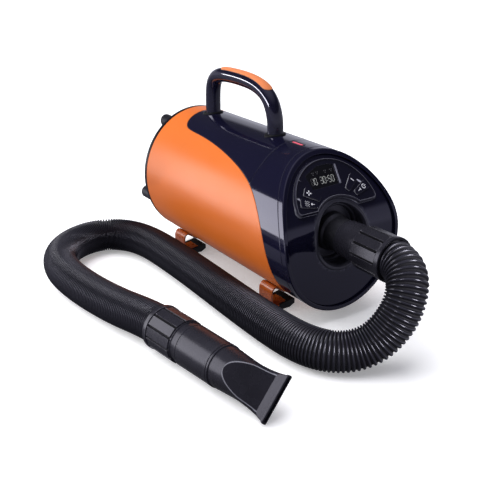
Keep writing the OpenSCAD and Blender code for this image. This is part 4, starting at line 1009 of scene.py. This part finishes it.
# The gaskets under the handle's feet are lens shaped: two arcs with a common chord.
PAD_HALF, PAD_RISE = 17.0, 11.0
pad_r = (PAD_HALF ** 2 + PAD_RISE ** 2) / (2 * PAD_RISE)
half_a = math.degrees(math.asin(PAD_HALF / pad_r))
for name, y in (("handle_gasket_front", HANDLE_FRONT), ("handle_gasket_rear", HANDLE_REAR)):
    lens = arc(0, y + PAD_RISE - pad_r, pad_r, 90 - half_a, 90 + half_a, 24)[:-1]
    lens += arc(0, y - PAD_RISE + pad_r, pad_r, 270 - half_a, 270 + half_a, 24)[:-1]
    put(name + "_pad", sheet(oval_top, [np.array(lens)], edge_levels(1.9, 0.9, top=1.95), grid=(2.5, 2.5)),
        nodes=[name], mat=RUBBER)

# ---------------------------------------------------------------- feet
BOOT_T, FOOT_T, FOOT_L, FOOT_X = 3.5, 2.5, 28.0, 63.0
side_x = FOOT_X - FOOT_T / 2
floor_y = -AXIS_H + BOOT_T + FOOT_T / 2


def under_body(x):
    """The height of a strip that lies on the body's underside."""
    return -(B + FOOT_T / 2 + 0.05) * math.sqrt(1 - (x / (A + FOOT_T / 2)) ** 2)


strip = [(x, under_body(x)) for x in range(-24, -49, -4)]
strip += arc(-side_x + 9, under_body(-53) - 7, 9, 110, 180, 5)
strip += arc(-side_x + 7, floor_y + 7, 7, 180, 255, 5)
strip += [(-30.0, floor_y + (side_x - 37) * math.tan(math.radians(8)))]
strip, _ = resample(spline(strip, 6), step=1.2)
strip_d = headings(strip)
foot_rows = fillet([(-FOOT_L / 2, -FOOT_T / 2), (FOOT_L / 2, -FOOT_T / 2), (FOOT_L / 2, FOOT_T / 2),
                    (-FOOT_L / 2, FOOT_T / 2)], 0.75)
n_rows = len(foot_rows)
CORNERS = {"front_left": (1, -96.0), "front_right": (-1, -96.0),
           "rear_left": (1, 126.0), "rear_right": (-1, 126.0)}
for corner, (side, y) in CORNERS.items():
    bent_strip = swept([(np.array([p[0] * side, y, p[1] + AXIS_H]), [0, 1, 0], [-d[1] * side, 0, d[0]])
                        for p, d in zip(strip, strip_d)], foot_rows, False, True)
    caps = []
    for ring, (dx, dz) in ((slice(0, n_rows), -strip_d[0]), (slice(-n_rows, None), strip_d[-1])):
        caps.append((bent_strip[0][ring], np.tile([dx * side, 0, dz], (n_rows, 1)), [tuple(range(n_rows))]))
    put("bracket_" + corner, joined([bent_strip] + caps),
        nodes=["foot_" + corner], mat=FOOT)


# ---------------------------------------------------------------- pieces softened from their solids
def softened(name, copied, width, mat, body="housing"):
    """A copy of a solid with its sharp edges rounded."""
    me = frame["nodes"][copied].data.copy()
    bm = bmesh.new()
    bm.from_mesh(me)
    bmesh.ops.remove_doubles(bm, verts=bm.verts, dist=1e-6)
    bmesh.ops.dissolve_limit(bm, angle_limit=math.radians(1.2), verts=bm.verts, edges=bm.edges)
    bm.to_mesh(me)
    bm.free()
    me.materials.clear()
    me.materials.append(mat)
    ob = linked(name, me)
    bevel = ob.modifiers.new("round", "BEVEL")
    bevel.width, bevel.segments, bevel.limit_method = width * MM, 3, "ANGLE"
    bevel.angle_limit = math.radians(32)
    bevel.use_clamp_overlap = bevel.harden_normals = True
    for p in me.polygons:
        p.use_smooth = True
    me.set_sharp_from_angle(angle=math.radians(40))
    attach(ob, body)
    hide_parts(copied)


for corner in CORNERS:
    softened("rubber_boot_" + corner, "boot_" + corner, 0.6, RUBBER)
softened("back_cover", "rear_cover", 0.5, REAR_BLACK)
softened("filter_cover", "filter_cap", 0.5, BLACK, body="filter_unit")
softened("mains_inlet", "power_inlet", 0.35, BLACK)
softened("back_posts", "rear_posts", 0.5, POST)
softened("cover_screws", "rear_cover_screws", 0.35, STEEL)
softened("bracket_screws", "foot_screws", 0.35, STEEL)
softened("air_spigot", "outlet_spigot", 0.4, BLACK)

# ---------------------------------------------------------------- cuffs
GRIP_L, PADS, PAD_PITCH = 49.0, 12, 14.2
PAD_TOP, GRIP_R, RIM_R, COLLAR_R, END_R = 27.4, 25.0, 27.6, 24.0, 22.8
PAD_FLAT = 0.85


def step_in(x, a, b):
    """A smooth step from 0 at a to 1 at b."""
    t = min(1.0, max(0.0, (x - a) / (b - a)))
    return t * t * (3 - 2 * t)


def cuff_base(y):
    """The cuff's radius at y, without its pads: a thick rim, the grip, then a collar that thins to END_R."""
    r = RIM_R - 1 + math.sqrt(max(0.0, 1 - (1 - y) ** 2)) if y < 1 else RIM_R
    r += (GRIP_R - RIM_R) * step_in(y, 5.6, 6.6)
    r += (COLLAR_R - GRIP_R) * step_in(y, GRIP_L - 0.6, GRIP_L + 0.6)
    r += (END_R - COLLAR_R) * min(1, max(0, (y - 51) / 30))
    return r


def cuff_skin(t, y):
    """The cuff's surface at t round it and y along it, with flat-topped pads between grooves."""
    a = (t / (2 * pi) * PADS) % 1.0
    gap = min(a, 1 - a) * PAD_PITCH
    raised = step_in(gap, 0.7, 1.7) * step_in(y, 6.2, 6.9) * (1 - step_in(y, 46.6, 47.6))
    across = (a - 0.5) * 2 * pi / PADS
    top = (PAD_TOP - PAD_FLAT) + PAD_FLAT * (1 / math.cos(across) - 1) / (1 / math.cos(pi / PADS) - 1)
    r = cuff_base(y) + (top - GRIP_R) * raised
    return np.array([r * math.cos(t), y, r * math.sin(t)])


# Places across a pad, in millimetres from the middle of a groove.
gaps = [0, 0.7, 0.82, 0.95, 1.08, 1.2, 1.32, 1.45, 1.58, 1.7, 2.3, 4.6, 6.0]
gaps = gaps + [PAD_PITCH / 2] + [PAD_PITCH - q for q in gaps[:0:-1]]
thetas = [2 * pi * (k + q / PAD_PITCH) / PADS for k in range(PADS) for q in gaps]
ys = [0, 0.06, 0.2, 0.5, 1.0, 3.0, 5.5, 5.8, 6.1, 6.3, 6.5, 6.65, 6.8, 6.95, 10, 18, 26, 34, 42, 46.4,
      46.8, 47.1, 47.4, 47.7, 48.3, 48.7, 49.0, 49.3, 49.7, 51, 60, 70, 80.4]
skin_v, skin_n, skin_f = field(thetas, ys, cuff_skin)
skin_n = np.where((np.einsum("ij,ij->i", skin_n, skin_v * [1, 0, 1]) < 0)[:, None], -skin_n, skin_n)
inner_rows = fillet([(26.6, 0.0), (24.15, 0.0), (24.15, 12.0)], [0, 0.5, 0], False, 4)
end_rows = fillet([(END_R, 80.4), (22.6, 81.0), (21.6, 81.0), (21.6, 70.0)], [0, 0.25, 0.3, 0], False, 3)
cuff_parts = joined([(skin_v, skin_n, skin_f), lathe(inner_rows * [1, 1, -1, -1]), lathe(end_rows)])


def groove_shade_level(y, radius):
    """0 in a groove between the pads, where the cuff gets a painted shade, 1 everywhere else."""
    among = (y > 6.3) & (y < 47.3)
    return np.where(among, np.clip((radius - GRIP_R) / (0.6 * (PAD_TOP - GRIP_R)), 0, 1), 1.0)


def cuff(name, replaced, axes, at):
    ob = put(name, place(cuff_parts, axes, at), nodes=[replaced], mat=PADDED)
    # The grooves between the pads get a painted shade where this is 0.
    mark_points(ob, "pad", groove_shade_level(skin_v[:, 1], np.hypot(skin_v[:, 0], skin_v[:, 2])), 1.0)


def place(part, axes, at):
    """A part turned by a matrix and moved."""
    v, n, f = part
    return v @ axes.T + at, n @ axes.T, f


def rotation(angle, axis):
    return np.array(Matrix.Rotation(angle, 3, axis))


FAR_AXES = rotation(TURN, "Z") @ rotation(DIP, "X") @ np.diag([1.0, -1.0, 1.0])
cuff("cuff_at_outlet", "hose_cuff", np.eye(3), np.array([0, CUFF_END, AXIS_H]))
cuff("cuff_at_nozzle", "nozzle_cuff", FAR_AXES, FAR)

# ---------------------------------------------------------------- sleeve and nozzle
S0, S1 = GRIP_L + 7, GRIP_L + 7 + 56
sleeve_rows = fillet([(21.5, S0 + 8), (21.5, S0 + 0.2), (25.0, S0), (25.8, S0 + 0.8), (25.8, S0 + 3.4),
                      (25.35, S0 + 4.0), (25.35, S0 + 5.2), (25.7, S0 + 5.8), (25.2, S1 - 3.0),
                      (25.45, S1 - 2.4), (25.45, S1), (21.5, S1), (21.5, S1 - 8)],
                     [0, 0, 0.3, 0.6, 0.3, 0.2, 0.2, 0.3, 0.3, 0.3, 0.7, 0.3, 0], False)
plug_rows = fillet([(21.4, S1 - 1), (21.4, S1 + 17.4), (20.9, S1 + 18.0), (19.2, S1 + 18.0), (19.0, S1 + 4)],
                   [0, 0.3, 0.3, 0.3, 0], False, 3)
put("turning_sleeve", place(joined([lathe(sleeve_rows, 112), lathe(plug_rows)]), FAR_AXES, FAR),
    body="sleeve", nodes=["connector_sleeve"], mat=CUFF)

NZ = S1 + 0.3
# The nozzle's length, its mouth's width and the flats' last height; then its neck's radius, where the
# flats start and end, and its lip.
NL, MOUTH_W, MOUTH_H = 84.5, 54.5, 6.4
NR, TIP, BAND, LIP, LIP_OUT = 24.2, 22.5, 71.0, 3.0, 0.7
NOZZLE_AXES = FAR_AXES @ rotation(math.radians(-49), "Y")
ROUND_STEPS = 24
ring_rows = fillet([(21.6, NZ + 9), (21.6, NZ), (25.4, NZ), (25.4, NZ + 3.0), (NR, NZ + 3.3), (NR, NZ + 12)],
                   [0, 0.3, 0.7, 0.7, 0.3, 0], False)


def hermite(x, x0, x1, y0, y1, m0, m1):
    """A cubic from y0 at x0 to y1 at x1 with the slopes m0 and m1."""
    h = x1 - x0
    t = (x - x0) / h
    return ((2 * t ** 3 - 3 * t ** 2 + 1) * y0 + (t ** 3 - 2 * t ** 2 + t) * h * m0
            + (-2 * t ** 3 + 3 * t ** 2) * y1 + (t ** 3 - t ** 2) * h * m1)


def half_w(t):
    """Half the nozzle's width: it narrows to a waist and widens to the mouth."""
    waist_t, waist_w, slope = 46.8, 22.3, 0.02
    if t < waist_t:
        return hermite(t, 4, waist_t, NR, waist_w, 0.0, slope)
    return hermite(t, waist_t, NL, waist_w, MOUTH_W / 2, slope, 0.24)


def flat_at(t):
    """Half the distance between the flats."""
    return NR - (NR - MOUTH_H / 2) * (t - TIP) / (BAND - TIP) if t < BAND else MOUTH_H / 2


def half_h(t):
    """The round sides' half height: the neck's, then about twice the flats'."""
    a, b = NR, 1.85 * flat_at(t)
    h = a - 1.2 * math.log1p(math.exp((a - b) / 1.2))
    return h if t < BAND else hermite(t, BAND, NL, h, 4.6, -0.25, 0.0)


def nozzle_section(t, grow=0.0):
    """The outline at t along the nozzle: two round sides between two flats."""
    w, h, f = half_w(t) + grow, half_h(t) + grow, flat_at(t) + grow
    ex = 2 + (3.0 * min(1, (t - BAND) / 8) if t > BAND else 0)
    f = min(f, h * 0.99999)
    a1 = math.asin((f / h) ** (ex / 2))
    pts = []
    for k in range(ROUND_STEPS + 1):
        a = -a1 + 2 * a1 * k / ROUND_STEPS
        c, s = math.cos(a), math.sin(a)
        pts.append((w * abs(c) ** (2 / ex), math.copysign(h * abs(s) ** (2 / ex), s)))
    x_top = pts[-1][0]
    near = x_top - min(0.8, x_top / 5)
    pts += [(x, f) for x in (near, *(x_top * (1 - 2 * k / 8) for k in range(1, 8)), -near)]
    n_half = len(pts)
    pts += [(-x, -z) for x, z in pts]
    corners = (0, ROUND_STEPS, n_half, n_half + ROUND_STEPS)
    return fillet(pts, [0.5 if i in corners else 0.0 for i in range(len(pts))], True, 3)


def nozzle_skin(ts, grow=0.0, sign=1):
    """The nozzle's surface through its outlines at ts, with normals that follow its slopes."""
    e = 0.05
    v, n = [], []
    for t in ts:
        rows = nozzle_section(t, grow)
        t0, t1 = max(ts[0], t - e), min(ts[-1], t + e)
        slope = (nozzle_section(t1, grow) - nozzle_section(t0, grow))[:, :2] / (t1 - t0)
        v.append(np.insert(rows[:, :2], 1, NZ + t, 1))
        n.append(unit(np.insert(rows[:, 2:], 1, -np.einsum("ij,ij->i", slope, rows[:, 2:]), 1)) * sign)
    return cleaned(np.concatenate(v), np.concatenate(n), grid_faces(len(ts), len(v[0]), False, True))


END = NL - 0.001
body_ts = np.append(np.linspace(4, TIP - 0.5, 10), TIP + (BAND - TIP - 0.001) * np.linspace(0, 1, 56) ** 1.7)
# The lip's rings: how far back from the mouth, how far out, and the normal's part along the nozzle.
LIP_RINGS = ((LIP, 0.0, -1), (LIP - 0.1, 0.4, -0.7), (LIP - 0.35, 0.62, -0.3), (LIP - 0.7, LIP_OUT, 0),
             (0.7, LIP_OUT, 0), (0.35, 0.62, 0.35), (0.1, 0.4, 0.75), (0.0, 0.0, 1.0), (0.0, -1.5, 1.0))
lip_v, lip_n = [], []
for back, out, tilt in LIP_RINGS:
    rows = nozzle_section(min(NL - back, END), out)
    lip_v.append(np.insert(rows[:, :2], 1, NZ + NL - back, 1))
    lip_n.append(unit(np.insert(rows[:, 2:] * (1 - abs(tilt)), 1, tilt, 1)))
lip = (np.concatenate(lip_v), np.concatenate(lip_n), grid_faces(len(lip_v), len(lip_v[0]), False, True))
parts = [lathe(ring_rows, 112), nozzle_skin(body_ts), nozzle_skin(np.linspace(BAND, NL - LIP, 14)), lip,
         nozzle_skin(np.linspace(24, END, 30), -1.5, -1)]
air_nozzle = put("flat_air_nozzle", place(joined(parts), NOZZLE_AXES, FAR), body="nozzle",
                 nodes=["flat_nozzle"], mat=NOZZLE)
# The flats' edges get a painted highlight, light grey: 0 there, 1 everywhere else.
local = (np.array([v.co for v in air_nozzle.data.vertices]) / MM - FAR) @ NOZZLE_AXES
plain = []
for x, y, z in local:
    t = y - NZ
    on_edge = False
    if TIP < t < BAND:
        f, h = flat_at(t), half_h(t)
        corner = half_w(t) * math.sqrt(max(0.0, 1 - (f / h) ** 2))
        on_edge = abs(z) > f - 0.35 and abs(abs(x) - corner) < 0.7
    plain.append(0.0 if on_edge else 1.0)
mark_points(air_nozzle, "plain", plain, 1.0)

# ---------------------------------------------------------------- floor, light
def stage_mesh(name, verts, faces, mat):
    me = bpy.data.meshes.new(name)
    me.from_pydata(verts, [], faces)
    me.materials.append(mat)
    ob = linked(name, me)
    return ob


FLOOR = material("floor", (0.90, 0.90, 0.905), rough=0.8, vary=0.01, vary_scale=2, spec=0.2, glow=0.3)
floor = stage_mesh("floor", [(-14, -14, 0), (14, -14, 0), (14, 14, 0), (-14, 14, 0)], [(0, 1, 2, 3)], FLOOR)
# The world below the horizon lights the undersides, in the floor's place.
floor.visible_diffuse = floor.visible_glossy = floor.visible_shadow = False


def area(name, at, to, size, power, size_y=None):
    lamp = bpy.data.lights.new(name, "AREA")
    lamp.energy, lamp.size = power, size
    if size_y:
        lamp.shape, lamp.size_y = "RECTANGLE", size_y
    ob = linked(name, lamp)
    ob.location = at
    ob.rotation_euler = (Vector(to) - Vector(at)).to_track_quat("-Z", "Y").to_euler()
    return ob


# A white card stands close on the left, a broad soft light is overhead.
CARD = ((-0.44, 0.26, 0.20), (0.56, 0.26, 0.20), 0.88)
shine = area("card_shine", *CARD, 5.4, size_y=0.36)
shine.visible_diffuse = False
streak = area("streak", (-0.44, 0.35, 0.40), (0.56, 0.35, 0.36), 0.9, 6.5, size_y=0.07)
streak.visible_diffuse = False
hose_lamps = (area("hose_back", (-0.40, 1.05, 0.80), (-0.12, 0.0, 0.0), 0.60, 9.5),
              area("hose_left", (-1.05, -0.55, 0.45), (-0.03, -0.29, 0.07), 0.25, 5.5, size_y=0.55),
              area("hose_right", (0.28, -1.25, 0.50), (-0.03, -0.29, 0.07), 0.35, 24.0, size_y=0.55))
for lamp, state, pieces in ((shine, "EXCLUDE", ["handle_bar", "ribbed_hose"]),
                            (streak, "INCLUDE", ["handle_bar"]),
                            *((lamp, "INCLUDE", ["ribbed_hose"]) for lamp in hose_lamps)):
    group = bpy.data.collections.new(lamp.name + "_group")
    lamp.light_linking.receiver_collection = group
    for k, piece in enumerate(pieces):
        group.objects.link(bpy.data.objects[piece])
        group.collection_objects[k].light_linking.link_state = state
area("card_glow", *CARD, 2.4, size_y=0.36).visible_glossy = False
lamp = bpy.data.lights.new("overhead", "SUN")
lamp.energy, lamp.angle = 3.7, math.radians(80)
sun = linked("overhead", lamp)
sun.visible_glossy = False
sun.rotation_euler = Vector((-0.30, 0.45, 1)).to_track_quat("Z", "Y").to_euler()

# Brightness of the room by height, from straight down to straight up.
ROOM = ((0.0, 0.05), (0.20, 0.15), (0.30, 0.36), (0.45, 0.49), (0.50, 0.75), (0.64, 0.62), (0.68, 0.09),
        (0.82, 0.06), (0.90, 0.40), (1.0, 0.9))
scene.world = bpy.data.worlds.new("studio")
tree, link = empty_tree(scene.world)
split, half = node(tree, "SeparateXYZ"), node(tree, "MapRange", {"From Min": -1.0})
levels, light = node(tree, "ValToRGB"), node(tree, "Background", {1: 1.0})
link(node(tree, "TexCoord").outputs["Generated"], split.inputs[0])
link(split.outputs["Z"], half.inputs["Value"])
link(half.outputs[0], levels.inputs[0])
link(levels.outputs[0], light.inputs[0])
link(light.outputs[0], node(tree, "OutputWorld").inputs[0])
stops = levels.color_ramp.elements
stops[0].position, stops[1].position = ROOM[0][0], ROOM[-1][0]
for k, (position, c) in enumerate(ROOM):
    stop = stops[0] if k == 0 else stops[len(stops) - 1] if k == len(ROOM) - 1 else stops.new(position)
    stop.color = (0.93 * c, 0.93 * c, 1.08 * c, 1)
scene.view_settings.view_transform = "Standard"
